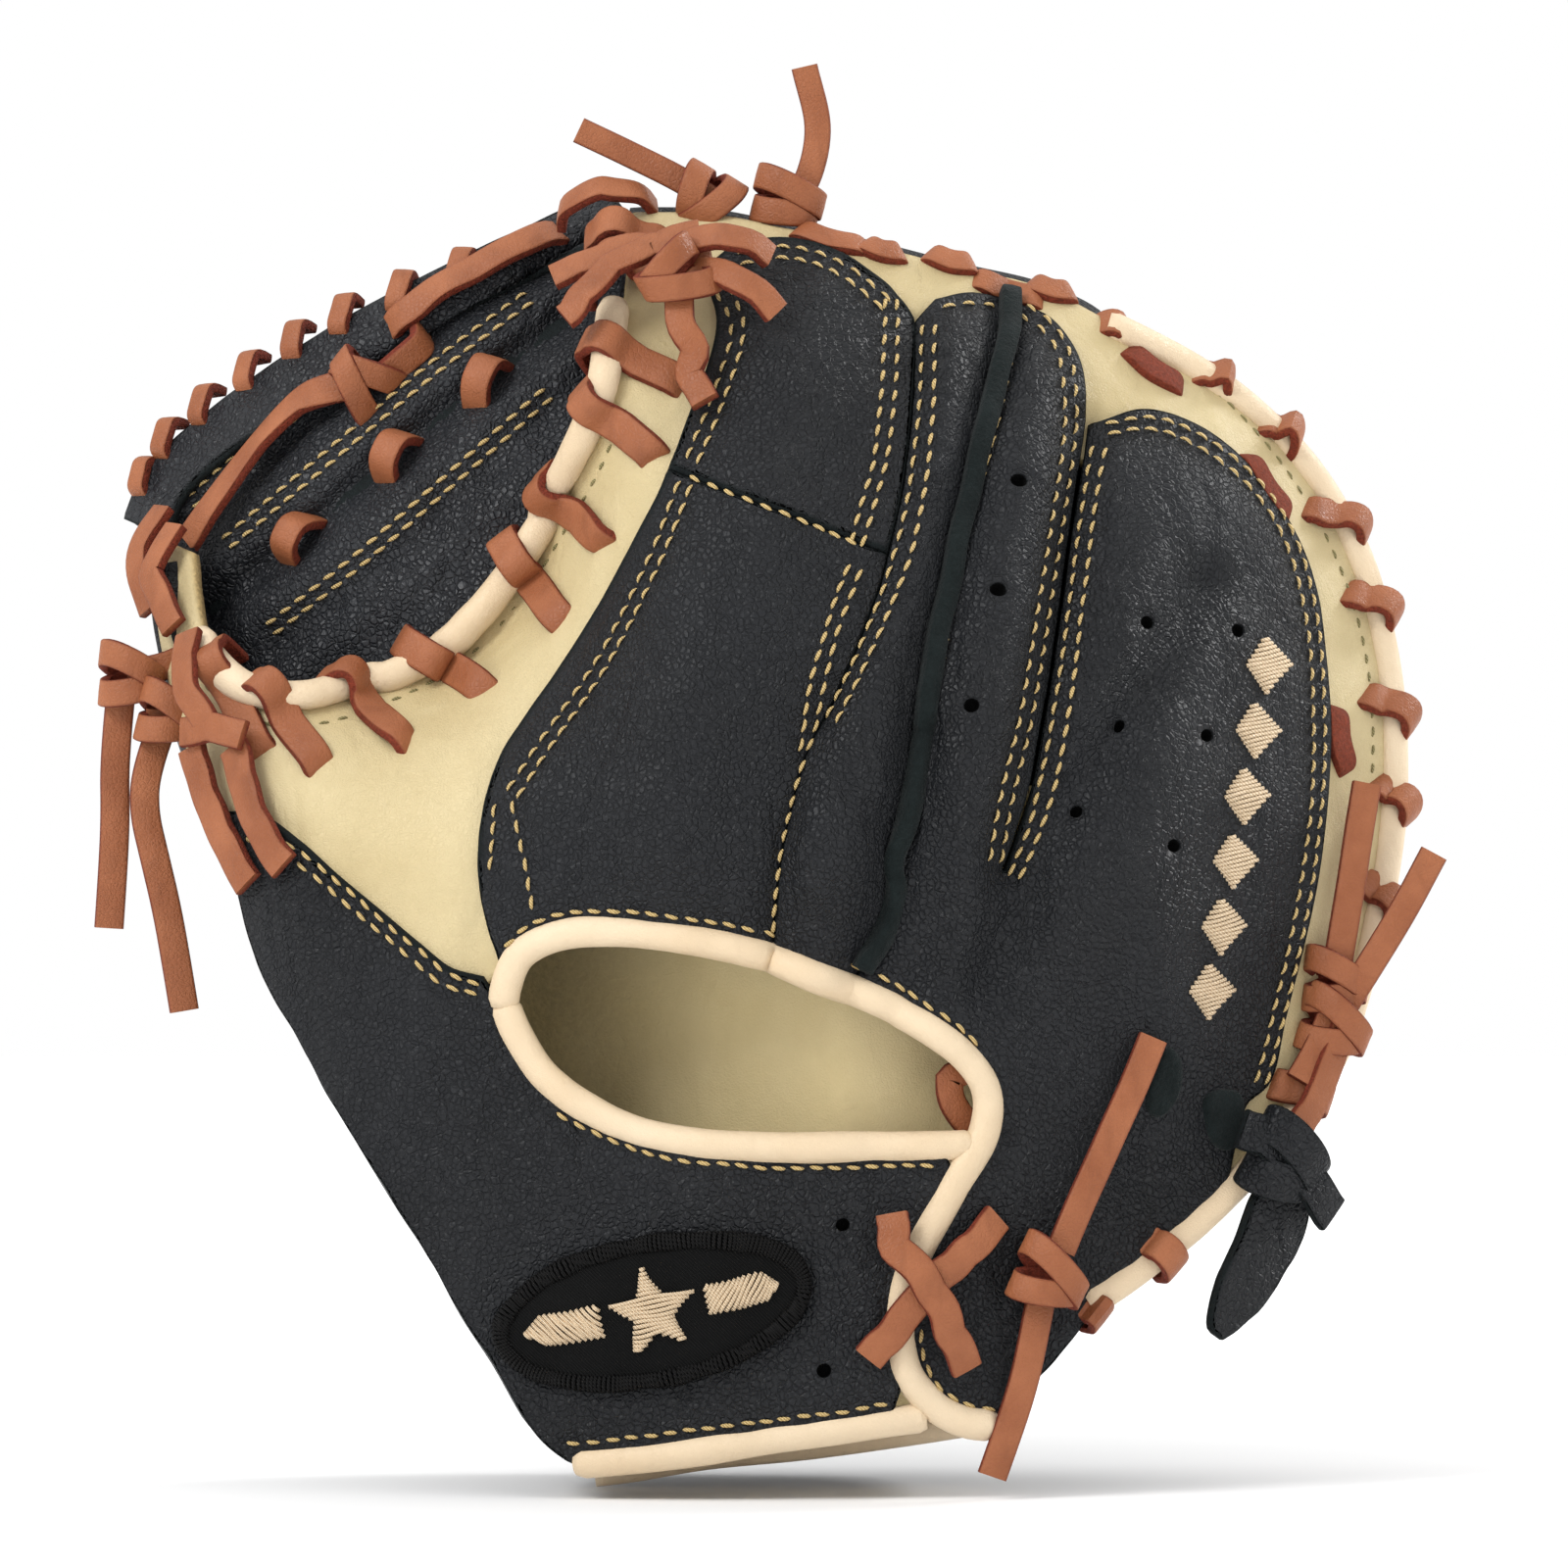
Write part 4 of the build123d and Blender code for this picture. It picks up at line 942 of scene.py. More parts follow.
def area_light(name, place, size, power):
    """A rectangular lamp that looks at the middle of the mitt."""
    data = bpy.data.lights.new(name, "AREA")
    data.shape = "RECTANGLE"
    data.size, data.size_y = size
    data.energy = power
    lamp = bpy.data.objects.new(name, data)
    lamp.location = place
    lamp.rotation_euler = (Vector((0, 0, 0.13)) - Vector(place)).to_track_quat("-Z", "Y").to_euler()
    bpy.context.scene.collection.objects.link(lamp)


area_light("key", (-1.1, -1.0, 1.3), (0.7, 0.7), 17)
area_light("fill", (1.6, -0.8, 0.6), (0.7, 1.2), 2)
area_light("top", (0, 0, 2.6), (5.5, 5.5), 62)
area_light("palm_side", (1.5, 0.9, 1.2), (0.5, 0.5), 17)

world = bpy.data.worlds.new("studio")
world.use_nodes = True
sky = world.node_tree.nodes
sky_links = world.node_tree.links
sky_place = sky.new("ShaderNodeTexCoord")
sky_split = sky.new("ShaderNodeSeparateXYZ")
sky_fade = sky.new("ShaderNodeMapRange")
for end, value in (("From Min", 0.10), ("From Max", 0.45), ("To Min", 1.0), ("To Max", 0.55)):
    sky_fade.inputs[end].default_value = value
sky_links.new(sky_place.outputs["Generated"], sky_split.inputs[0])
sky_links.new(sky_split.outputs["Z"], sky_fade.inputs["Value"])
sky_links.new(sky_fade.outputs["Result"], sky["Background"].inputs["Color"])
bpy.context.scene.world = world
bpy.context.scene.view_settings.view_transform = "Standard"

floor_mesh = bpy.data.meshes.new("floor")
FLOOR_HALF = 2.2
corners = [(-1, -1), (1, -1), (1, 1), (-1, 1)]
floor_mesh.from_pydata([(FLOOR_HALF * x, FLOOR_HALF * y, FLOOR_Z - 0.0005) for x, y in corners],
                       [], [(0, 1, 2, 3)])
floor_paint = Paint("pale_floor", roughness=0.85, specular=0.1)
floor_tone = floor_paint.mix(floor_paint.ramp(floor_paint.noise(3, 2), 0.3, 0.7),
                             (0.93, 0.93, 0.93), (0.95, 0.95, 0.95))
floor_place = floor_paint.node("ShaderNodeVectorMath", i0=floor_paint.where)
floor_place.operation = "LENGTH"
floor_glow = floor_paint.ramp(floor_place.outputs["Value"], 0.4, 1.8, 0.0, 0.3)
floor_paint.put(floor_paint.shader, "Emission Color", (1, 1, 1, 1))
floor_paint.put(floor_paint.shader, "Emission Strength", floor_glow)
floor_mesh.materials.append(floor_paint.done(floor_tone))
floor = bpy.data.objects.new("floor", floor_mesh)
bpy.context.scene.collection.objects.link(floor)
floor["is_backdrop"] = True

# ---------------------------------------------------------------- free lace tails

TAILS = {
    "tail_thumb_outer": (THUMB, 0.044, [(-126.5, 38, 152.3), (-127.6, 37.6, 141),
                                        (-127.4, 37.9, 130), (-127.9, 37.5, 119),
                                        (-128.7, 38, 108)]),
    "tail_thumb_inner": (THUMB, 0.056, [(-118.5, 35, 146.5), (-121.2, 33.5, 139),
                                        (-121.6, 32.4, 131), (-119.4, 31.4, 122),
                                        (-117, 30.6, 112), (-115.2, 30.4, 102),
                                        (-113.6, 30.8, 92)]),
    "tail_rim": (FINGERS, 0.037, [(111.6, 18.5, 101), (113, 19.5, 109.5), (114.6, 21, 118.5),
                                  (116, 23.4, 127.5), (117.6, 25.5, 136.5)]),
    "tail_heel_up": (FINGERS, 0.047, [(57, -13.6, 47.3), (60.4, -12.6, 55.5), (64.4, -10.8, 64),
                                      (68, -9.2, 72), (71.8, -7.4, 80), (75, -5.6, 88)]),
    "tail_heel_down": (FINGERS, 0.034, [(53, -13.6, 37), (51.5, -14.5, 29), (49.6, -15.2, 21),
                                        (47, -15.6, 13), (43.8, -15.4, 4)]),
}


def nurbs_line(name, points):
    """The points of the smooth curve that a route's points control, in millimetres."""
    data = bpy.data.curves.new(name, "CURVE")
    data.dimensions = "3D"
    data.resolution_u = 8
    curve = data.splines.new("NURBS")
    curve.points.add(len(points) - 1)
    for point, place in zip(curve.points, points):
        point.co = (*place, 1)
    curve.order_u = 3
    curve.use_endpoint_u = True
    holder = bpy.data.objects.new(name, data)
    line = bpy.data.meshes.new_from_object(holder)
    found = arr([v.co for v in line.vertices])
    bpy.data.objects.remove(holder)
    bpy.data.curves.remove(data)
    bpy.data.meshes.remove(line)
    return found


for tail, (body, length, route) in TAILS.items():
    line = nurbs_line(tail + "_route", route)
    lace = Mesh()
    normal = np.tile(arr([0.15, -1.0, 0.0]), (len(line), 1))
    ribbon(lace, line, normal)
    piece = lace.build(tail + "_lace", tan, "tan_rawhide", sharp=LACE_SHARP)
    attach(piece, body)
    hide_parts(tail)

# ---------------------------------------------------------------- back panels

ON_TOP = 1.8
LEATHER = 2.4
finger_thread, flex_thread, web_thread, dull, crotch_dull = (Mesh() for _ in range(5))


def panel(name, nodes, outline, material, slot, lift=ON_TOP, rows=(), body=FINGERS,
          thread_mesh=None, **options):
    """A back panel with its stitch rows."""
    mesh = Mesh()
    leather_sheet(mesh, smooth(outline, 1.2, 35, True), back, lift, LEATHER, rows=rows, **options)
    hang(mesh, body, nodes, name, material, slot)
    for row in rows:
        stitches(finger_thread if thread_mesh is None else thread_mesh, row, back, lift)


tip_rows = both(INDEX_TOP[1:-1], -3.4) + both([(24, 231), (23.7, 215), (22.4, 200), (19.9, 190),
                                               (17.8, 182)])
tip_rows += [beside([(-14.5, 196), (18.5, 182.6)], 0.0)] + both([(-8, 233), (-4.5, 225), (-7, 214),
                                                                 (-10.5, 205), (-13.5, 198)])
panel("index_tip_leather", ["index_tip_panel"],
      INDEX_TOP + MIDDLE_SEAM[1:4] + CROSS_SEAM[::-1] + [(-15.5, 205), (-12, 214), (-9, 226)],
      black, "black_leather", rows=tip_rows, raw=1.3)

hand_rows = both([(-14.4, 195), (-20, 180), (-30, 160), (-42, 143), (-48, 134)])
hand_rows += [single([(-48, 134), (-45.5, 122), (-44, 112.5)]), single([(-51, 133), (-52, 120)])]
hand_rows += both([(17.8, 179), (12.5, 165), (8.5, 151), (7, 143)])
hand_rows += [single([(8, 142), (5, 130), (3, 118), (1.0, 108)]),
              single([(-50, 105.5), (-44, 110.8), (-30, 113), (-10, 111), (2, 108)])]
panel("hand_back_leather", ["hand_back_panel"],
      CROSS_SEAM + MIDDLE_SEAM[4:] + OPENING_TOP[:6][::-1] + INDEX_EDGE[4:-1][::-1],
      black, "black_leather", rows=hand_rows, raw=1.3,
      raw_lines=[(smooth(INDEX_EDGE, 2), 1.7)])

middle_rows = both([(32.4, 226), (32.2, 215), (30, 195), (26, 178), (19.5, 161), (13.5, 148.5)])
middle_rows += [single([(34, 228.3), (40, 229.6), (45, 229)])]
panel("middle_finger_leather", ["middle_finger_panel"],
      MIDDLE_SEAM[::-1] + MIDDLE_TOP[1:] + WELT[1:], black, "black_leather", rows=middle_rows,
      raw=0.9, lift=ON_TOP - 0.3)

outer_rows = [single([(49.5, 222), (46.6, 208), (42.6, 193), (38, 175), (34.5, 155), (31.8, 140),
                      (30.5, 129)])]
outer_rows += both([(50, 228.4), (54, 225.6), (57.6, 220), (58.2, 208), (55.8, 190), (52.8, 172),
                    (49, 150), (44.9, 133), (43, 122)])
outer_rows += both([(65.6, 202), (63.6, 190), (60.8, 170), (57.2, 148), (52.6, 130), (48.2, 118.5)])
outer_rows += both([(66, 204.6), (75, 206), (85, 202), (95, 194), (101.5, 184), (105.5, 170),
                    (107, 150), (106.5, 133), (104, 115), (100, 96), (95.5, 78)])
outer_rows += [single([(15, 103), (24, 99), (33, 93.5), (41, 86.5)]),
               single([(29.6, 33), (30.4, 26), (34, 20.5), (39, 17.3), (44.5, 16.6)])]
VENTS = [(73, 168), (91, 166), (84.5, 146), (68.5, 147.5), (78, 125), (60.5, 131), (49, 195),
         (45, 174), (40, 152)]
STRAP_VENTS = [(15, 52.5), (11.5, 24.5)]
VENT_RADIUS = 1.35
SLIT_FAR_SIDE = [(46.2, 120.6), (51.6, 136.5), (54.6, 151.5), (57.1, 166.5), (59.2, 181.5),
                 (61.7, 196.5), (63.0, 206)]
outer_outline = (RING_TOP[:-1] + SLIT + SLIT_FAR_SIDE + LITTLE_EDGE[2:] + LOWER_EDGE[1:]
                 + HEEL_PANEL_EDGE[::-1][1:] + OPENING_TOP[7:][::-1][1:] + WELT[::-1][:-1])
panel("outer_back_leather", ["outer_back_panel"], outer_outline, black, "black_leather",
      rows=outer_rows, raw=0.9, holes=[(x, z, VENT_RADIUS) for x, z in VENTS])

panel("rim_khaki_leather", ["rim_back_leather"],
      TOP_EDGE[::-1] + [(-26, 249), (-22, 240), (-4, 232), (25, 222), (50, 218), (58, 200),
                        (80, 198), (96, 178), (100, 148), (98, 120), (92, 90), (90, 62)]
      + RIM_ROLL[::-1][2:],
      khaki, "khaki_leather", lift=0.0, raw=0.5)

panel("crotch_khaki_leather", ["index_crotch_leather", "thumb_crotch_leather"],
      [(-26, 249), (-4, 242), (2, 226), (-6, 205), (-12, 190), (-24, 168), (-38, 150), (-44, 130),
       (-46, 104), (-56, 96), (-64, 97), (-76, 104), (-86, 112), (-98, 122), (-105, 124)]
      + THUMB_EDGE[12:] + [(-118, 184)] + CROTCH[::-1], khaki, "khaki_leather", lift=0.0, raw=0.5,
      body=BOTH)

thumb_rows = both([(-100, 127.5), (-90, 123), (-82, 116.4), (-74, 109.8), (-66, 103.4),
                   (-60.5, 98.9), (-54.5, 97.2)], 0.0)
strap_rows = [single([(-40, 74), (-30, 69), (-18, 65.2), (0, 63.8), (20, 63.8), (33, 63.8)]),
              single([(-38, 10.3), (-30, 11), (0, 14.8), (24, 18.2)])]
panel("strap_and_thumb_leather", ["wrist_strap", "thumb_back_panel"],
      THUMB_EDGE[:13] + THUMB_PANEL_TOP[1:] + OPENING_BOTTOM[1:] + HEEL_PANEL_EDGE[1:6]
      + STRAP_BOTTOM[::-1], black, "black_leather", rows=thumb_rows + strap_rows, body=BOTH,
      thread_mesh=flex_thread, holes=[(x, z, VENT_RADIUS) for x, z in STRAP_VENTS],
      raw_lines=[(smooth(THUMB_PANEL_TOP, 2), 1.6)])

welt_mesh = Mesh()
welt_line = smooth([(47.5, 230.5)] + WELT[1:-1] + [(17.5, 101.5)], 1.5)
points, normal = lay(back, welt_line, 1.5)
section, raw = ribbon_section(4.2, 6.4)
sweep(welt_mesh, section, points, normal, np.ones(len(raw)))
hang(welt_mesh, FINGERS, ["finger_welt"], "finger_welt_suede", dark_suede, "raw_suede")

# Small near-black cups in the vent holes: painted shade for the dark inside of each hole
for name, holes in (("back_vents", VENTS), ("strap_vents", STRAP_VENTS)):
    cups = Mesh()
    for x, z in holes:
        rings = [lay(back, circle(x, z, radius), ON_TOP - depth)[0]
                 for radius, depth in ((1.36, 0.5), (1.25, 1.6), (1.1, 2.3))]
        bottom = tuple(2 * HOLE_SIDES + j for j in range(HOLE_SIDES))
        cups.add(np.vstack(rings), tube_faces(3, HOLE_SIDES) + [bottom])
    hang(cups, FINGERS, [], name, hole_shade_felt)

# ---------------------------------------------------------------- rolled bindings


def rolled(name, nodes, line, lift=0.9, radius=3.0, body=FINGERS):
    """A rolled leather binding, slightly flattened."""
    mesh = Mesh()
    route = smooth(line, 1.6, 75)
    points, normal = lay(back, route, lift)
    count = len(route)
    along = np.arange(count) * 1.6
    size = 1 + 0.03 * np.sin(along / 9) + 0.02 * np.sin(along / 3.7 + 1)
    size[[0, -1]] *= 0.8
    section, marks = round_section(radius, 0.88, 18)
    sweep(mesh, section[::-1], points, normal, marks, size=size)
    hang(mesh, body, nodes, name, cream, "cream_binding")


rolled("strap_bottom_binding", ["strap_binding"], STRAP_BOTTOM + [(31, 15.4)], lift=0.2, radius=2.9)
rolled("opening_upper_roll", ["opening_upper_binding"],
       [(-50, 94)] + OPENING_TOP[:-1] + HEEL_PANEL_EDGE)
rolled("opening_lower_roll", ["opening_lower_binding"],
       [(-50, 95)] + OPENING_BOTTOM[1:] + [(40, 67.8)],
       lift=0.5)
rolled("rim_roll", ["rim_binding"], RIM_ROLL, lift=0.2, radius=3.0)
rolled("crotch_roll", ["crotch_binding_index", "crotch_binding_thumb"], CROTCH_ROLL, lift=2.0,
       radius=3.2, body=BOTH)

inner_roll = Mesh()
roll_line = smooth([(-33, 12.4, 2.8), (-26, 12.8, 3.6), (-12, 12.2, 6), (8, 12.2, 8),
                    (28, 14.2, 10.6), (38, 16.4, 12)], 1.6, 80)
section, marks = round_section(2.8, 0.95, 16)
sweep(inner_roll, section[::-1], roll_line, np.tile(arr([0, -1.0, 0]), (len(roll_line), 1)), marks)
hang(inner_roll, FINGERS, ["wrist_roll"], "wrist_inner_roll", cream, "cream_binding")

# ---------------------------------------------------------------- palm, rim wall and hand lining

palm = Mesh()
palm_outline = anticlockwise(smooth(
    TOP_EDGE[::-1] + CROTCH + [(-121.5, 182)] + THUMB_EDGE[:-1][::-1] + HEEL[::-1]
    + RIM_ROLL[::-1][1:], 1.6, 50, True))
palm_in = leftward(palm_outline)
ROLL = 15.0
WALL_SHARE = 0.45


def wall_middle(x, z):
    """Where the rim wall is widest, between the back and the palm side."""
    return back_y(x, z) + WALL_SHARE * (palm_front(x, z) - back_y(x, z))


def palm_skin(x, z):
    """The palm side, rolled over towards the wall near its edge."""
    away = distance_to(np.stack([x.ravel(), z.ravel()], axis=1), palm_outline, True)
    share = np.clip(away.reshape(x.shape) / ROLL, 0, 1)
    middle = wall_middle(x, z)
    return middle + (palm_front(x, z) - middle) * np.sqrt(np.maximum(1 - (1 - share)**2.4, 0))


extra_rings = []
for depth in (3.0, 5.0, 7.5, 10.5):
    ring = palm_outline + palm_in * depth
    good = inside(ring, palm_outline) & (distance_to(ring, palm_outline, True) > depth * 0.93)
    extra_rings.append(ring[good])
pocket_seam = single([(60, 215), (80, 190), (88, 155), (84, 118), (64, 84), (30, 62), (-12, 56),
                      (-48, 66), (-74, 92), (-88, 124)])
palm_rows = both(pocket_seam)
flat, faces = fill(palm_outline, 3.2, extra_rings + palm_rows)
top_y = palm_skin(flat[:, 0], flat[:, 1])
for row in palm_rows:
    top_y -= 0.5 * np.exp(-(distance_to(flat, row) / 1.3)**2)
faces = [f[::-1] for f in faces]
loops = edge_loops(faces)
palm_points, palm_faces = [np.stack([flat[:, 0], top_y, flat[:, 1]], axis=1)], list(faces)
before = {a: a for a, _ in loops}
rim_ids = sorted(before)
rim_flat = flat[rim_ids]
nearest = [int(np.argmin(((palm_outline - p)**2).sum(1))) for p in rim_flat]
rim_in = palm_in[nearest]
rim_middle = wall_middle(rim_flat[:, 0], rim_flat[:, 1])
at_wrist = (np.clip((24 - rim_flat[:, 1]) / 6, 0, 1) * np.clip((rim_flat[:, 0] + 36) / 4, 0, 1)
            * np.clip((44 - rim_flat[:, 0]) / 6, 0, 1))
at_thumb = (np.clip((-40 - rim_flat[:, 0]) / 6, 0, 1) * np.clip((160 - rim_flat[:, 1]) / 14, 0, 1))
under_panel = back(rim_flat[:, 0], rim_flat[:, 1]) + 0.2
at_back = back_y(rim_flat[:, 0], rim_flat[:, 1]) + 2.0
rim_end = at_back * (1 - at_thumb) + under_panel * at_thumb + 21 * at_wrist
count = len(flat)
for u in (0.25, 0.5, 0.72, 0.9, 1.0):
    bulge = 1.4 * math.sin(math.pi * u)
    inset = (6.5 - 5.3 * at_thumb) * (1 - math.sqrt(1 - u**2.2)) - bulge
    y = rim_middle + u * (rim_end - rim_middle)
    ring = rim_flat + rim_in * inset[:, None]
    palm_points.append(np.stack([ring[:, 0], y, ring[:, 1]], axis=1))
    now = {a: count + i for i, a in enumerate(rim_ids)}
    palm_faces += [[before[b], before[a], now[a], now[b]] for a, b in loops]
    before = now
    count += len(rim_ids)
palm.add(np.vstack(palm_points), palm_faces)
palm_piece = palm.build("palm_and_pocket", black, "black_leather")
flex(palm_piece)
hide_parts("palm_leather", "thumb_palm_leather", "palm_pad", "heel_pad", "thumb_pad",
            "thumb_stall_lining")

palm_thread = Mesh()
for row in palm_rows:
    stitches(palm_thread, row, palm_skin, -0.3, facing=1)
hang(palm_thread, BOTH, [], "palm_stitching", cream_thread, "cream_thread")

# The rim lace's turns on the palm side, and the laces that hold the web to the pocket's edge
palm_turns = Mesh()
turn_line = smooth(TOP_EDGE[1:] + RIM_ROLL[1:15], 1.0, 60)
middle_line = smooth(turn_line, 1.5, 60)
turn_in = beside(turn_line, -1.0) - middle_line
for i in range(8, len(turn_in) - 6, 12):
    at = middle_line[i]
    ahead = arr([-turn_in[i][1], turn_in[i][0]])
    lace_bar(palm_turns, at + turn_in[i] * 2.0 + ahead * 2, at + turn_in[i] * 10 - ahead * 2,
             palm_skin,
             top=1.2, dive=1.6, width=5.8, facing=1)
lacing(palm_turns, FINGERS, [], "rim_lace_palm_turns")
web_turns = Mesh()
turn_line = smooth(WEB_SIDES[2:12], 1.5, 60)
turn_in = beside(WEB_SIDES[2:12], -1.0) - turn_line
for i in range(4, len(turn_in) - 3, 11):
    at = turn_line[i]
    lace_bar(web_turns, at + turn_in[i] * 6, at - turn_in[i] * 7, web_front, top=1.6, dive=1.6,
             width=5.8, facing=1)
lacing(web_turns, BOTH, [], "web_lace_palm_turns")

liner = Mesh()
liner_outline = smooth(HAND, 2.0, 60, True)
flat, faces = fill(liner_outline, 3.2)
away = distance_to(flat, liner_outline, True)
# Shallow by the wrist, deepest towards the thumb
low = np.clip((40 - flat[:, 1]) / 24, 0, 1)
deep = 10 + 24 * np.clip((14 - flat[:, 0]) / 56, 0, 1)
depth = 5.5 + deep * (1 - np.exp(-away / 9)) * (1 - low) + 17.5 * low
y = back_y(flat[:, 0], flat[:, 1]) + depth + 0.4 * waviness(flat[:, 0], flat[:, 1])
n = len(flat)
sheet = np.stack([flat[:, 0], y, flat[:, 1]], axis=1)
under = sheet + arr([0, 1.4, 0])
sides = [[a, a + n, b + n, b] for a, b in edge_loops(faces)]
# Painted shade: the far, thumb end of the lining is darkened through its mark, for the shadow
# inside the hand opening
shade = 0.85 * np.clip((-10 - flat[:, 0]) / 32, 0, 1)
liner.add(np.vstack([sheet, under]), faces + [[i + n for i in f[::-1]] for f in faces] + sides,
          np.concatenate([shade, shade]))
hang(liner, FINGERS, ["palm_lining", "back_lining", "finger_stall_linings"], "hand_lining", lining,
     "lining_leather")

# ---------------------------------------------------------------- web

web_outline = smooth(WEB_TOP + WEB_SIDES, 1.3, 40, True)
web_rows = both([(-114.5, 191), (-102, 202), (-90, 212)], 0.0, 2.4)
web_rows += both([(-107, 183), (-86, 200.5), (-64, 219), (-46, 232.5)], 0.0, 2.4)
web_rows += both([(-98, 166), (-80, 180), (-60, 197.5), (-42, 213.5)], 0.0, 2.4)
mesh = Mesh()
leather_sheet(mesh, web_outline, web_back, 0.0, 2.4, spacing=1.9, rows=web_rows, raw=0.8)
hang(mesh, BOTH, ["web_back_panel"], "web_back_leather", web_black, "black_leather")
for row in web_rows:
    stitches(web_thread, row, web_back, 0.0)

mesh = Mesh()
front_outline = smooth([(x, z - 1) for x, z in WEB_TOP[1:-1]] + WEB_SIDES[1:-1], 1.5, 40, True)
front_rows = [beside([(-112, 192), (-86, 214), (-46, 238)], 0),
              beside([(-100, 172), (-74, 194), (-44, 216)], 0)]
leather_sheet(mesh, front_outline, web_front, 0.0, 2.4, spacing=2.6, rows=front_rows, raw=0.8,
              facing=1)
hang(mesh, BOTH, ["web_front_panel"], "web_front_leather", web_black, "black_leather")
for row in front_rows:
    stitches(web_thread, row, web_front, 0.0, facing=1)

# The strap folded over the web's top edge
mesh = Mesh()
upper = smooth(WEB_TOP, 1.5, 60)
lower = beside(WEB_TOP, -9.5)
strap_outline = smooth(np.vstack([upper[::6], upper[-1:], lower[::-1][2::6], lower[:1]]), 1.3, 40,
                       True)
leather_sheet(mesh, strap_outline, web_back, 2.2, 2.0, spacing=1.8, raw=0.9)
hang(mesh, BOTH, ["web_top_strap"], "web_top_fold", web_black, "black_leather")

# ---------------------------------------------------------------- laces on the web and crotch

web_laces = Mesh()
for x, z in [(-60, 237), (-72, 232.5), (-83, 228), (-92.5, 223), (-101.5, 217), (-110.5, 210.5),
             (-118, 204), (-122.5, 196.5)]:
    lace_bar(web_laces, (x - 0.4, z - 4.0), (x + 1.4, z + 3.4), web_back, top=3.3, dive=1.0,
             width=4.4)
lacing(web_laces, BOTH, ["web_edge_lace"], "web_edge_lacing")

loops_mesh = Mesh()
for x, z in [(-55, 216), (-73, 201), (-92.5, 184.5)]:
    lace_bar(loops_mesh, (x - 2.6, z - 4.6), (x + 2.0, z + 5.0), web_plain, top=2.4, dive=5.5,
             width=6.2, power=3)
lacing(loops_mesh, BOTH, ["web_loops"], "web_keeper_loops")

cross = Mesh()
for start, end, top in [((-39, 245), (-75, 224.5), 4.6), ((-68, 226), (-80, 217), 7.0)]:
    lace_bar(cross, start, end, web_back, top=top, dive=2.0, width=6.0)
laid(cross, [(-82, 215), (-92, 205), (-102, 194), (-111.5, 183)], (6.5, 4.0), 6.2, web_back)
knot_on(cross, web_back, (-80.5, 217.5), 5.5, (-0.62, 0.05, -0.78), (6.2, 4.0))
lacing(cross, BOTH, ["web_cross_lace"], "web_cross_lacing")

crotch_laces = Mesh()
CROTCH_BARS = [((-37, 243), (-19, 242.5)), ((-35.5, 236.5), (-17, 236)),
               ((-35, 223), (-15.5, 214)), ((-36, 213.5), (-21, 200)),
               ((-44, 197.5), (-30.5, 183)), ((-51, 184), (-39, 168)),
               ((-72, 165), (-54, 154.5)), ((-84.5, 156.5), (-69, 144.5)),
               ((-99, 156), (-86, 140)), ((-106, 159), (-97.5, 142.5))]
roll_line = smooth(CROTCH_ROLL, 1.5, 60)
for start, end in CROTCH_BARS:
    wrap(crotch_laces, end, start, roll_line, reach=5.6, drop=9.0, radius=3.2, lift=2.0, width=6.8)
lace_bar(crotch_laces, (-40, 247), (-22, 250), back, top=4.0, over=3, dive=1.0, width=5.2)
# Crossing pair over the web's corner
for points in ([(-36, 221), (-26, 230.5), (-12, 235.5), (2, 233.5)],
               [(-38, 230), (-24, 234.5), (-10, 232), (3, 224.5)]):
    line = smooth(points, LACE_STEP)
    steps_left = np.arange(len(line)) - len(line) + 8
    lift = np.linspace(9.5, 11.5, len(line)) - 7.5 * np.clip(steps_left / 8, 0, 1)**2
    place, normal = lay(back, line, lift + (2.4 if points[0][1] < 225 else 0))
    ribbon(crotch_laces, place, normal)
knot_on(crotch_laces, back, (-16, 228), 13.0, (0.5, 0, -0.86), (5.6, 3.6))
laid(crotch_laces, [(-16, 226), (-13, 217), (-9.5, 208)], (12.0, 5.0))
lacing(crotch_laces, BOTH, ["crotch_lace_index", "crotch_lace_thumb"], "crotch_lacing")

# Turns of lace round the thumb tip, their ends and knots
thumb_laces = Mesh()
for points, lift in [([(-118, 190), (-121.5, 180), (-120, 170)], 1.0),
                     ([(-114, 186), (-117.5, 176), (-114, 166)], 2.6),
                     ([(-109, 163), (-107, 152), (-104, 146)], 6.0)]:
    laid(thumb_laces, points, lambda t: lift + 2 * np.sin(math.pi * t))
knot(thumb_laces, (-124.3, 37.0, 157.0), (0.1, 0, 1.0), (5.0, 3.6))
knot(thumb_laces, (-117.0, 33.5, 149.5), (0.25, 0, 1.0), (4.6, 3.4))
strand(thumb_laces, [(-111, 40, 163), (-116, 37.6, 160), (-121, 37, 158.6), (-125, 37, 158.2)])
strand(thumb_laces, [(-108, 38, 158), (-112, 35.8, 154), (-116, 34, 151)])
strand(thumb_laces, [(-118.5, 34.5, 151), (-118.7, 34.9, 148.8), (-118.9, 35, 146.2)])
lacing(thumb_laces, THUMB, ["thumb_knots"], "thumb_knotted_lacing")

ends = Mesh()
for points in ([(-108.5, 143), (-104, 130), (-97.5, 117)],
               [(-100.5, 143), (-96.5, 131), (-91, 120.5)]):
    laid(ends, points, (4.5, 4.0), 6.6)
laid(ends, [(-109, 145.5), (-103.5, 146.5), (-98, 144.5)], 6.6, 6.0)
lacing(ends, THUMB, ["thumb_lace_ends"], "thumb_lace_ends_flat")

# ---------------------------------------------------------------- laces on the finger half

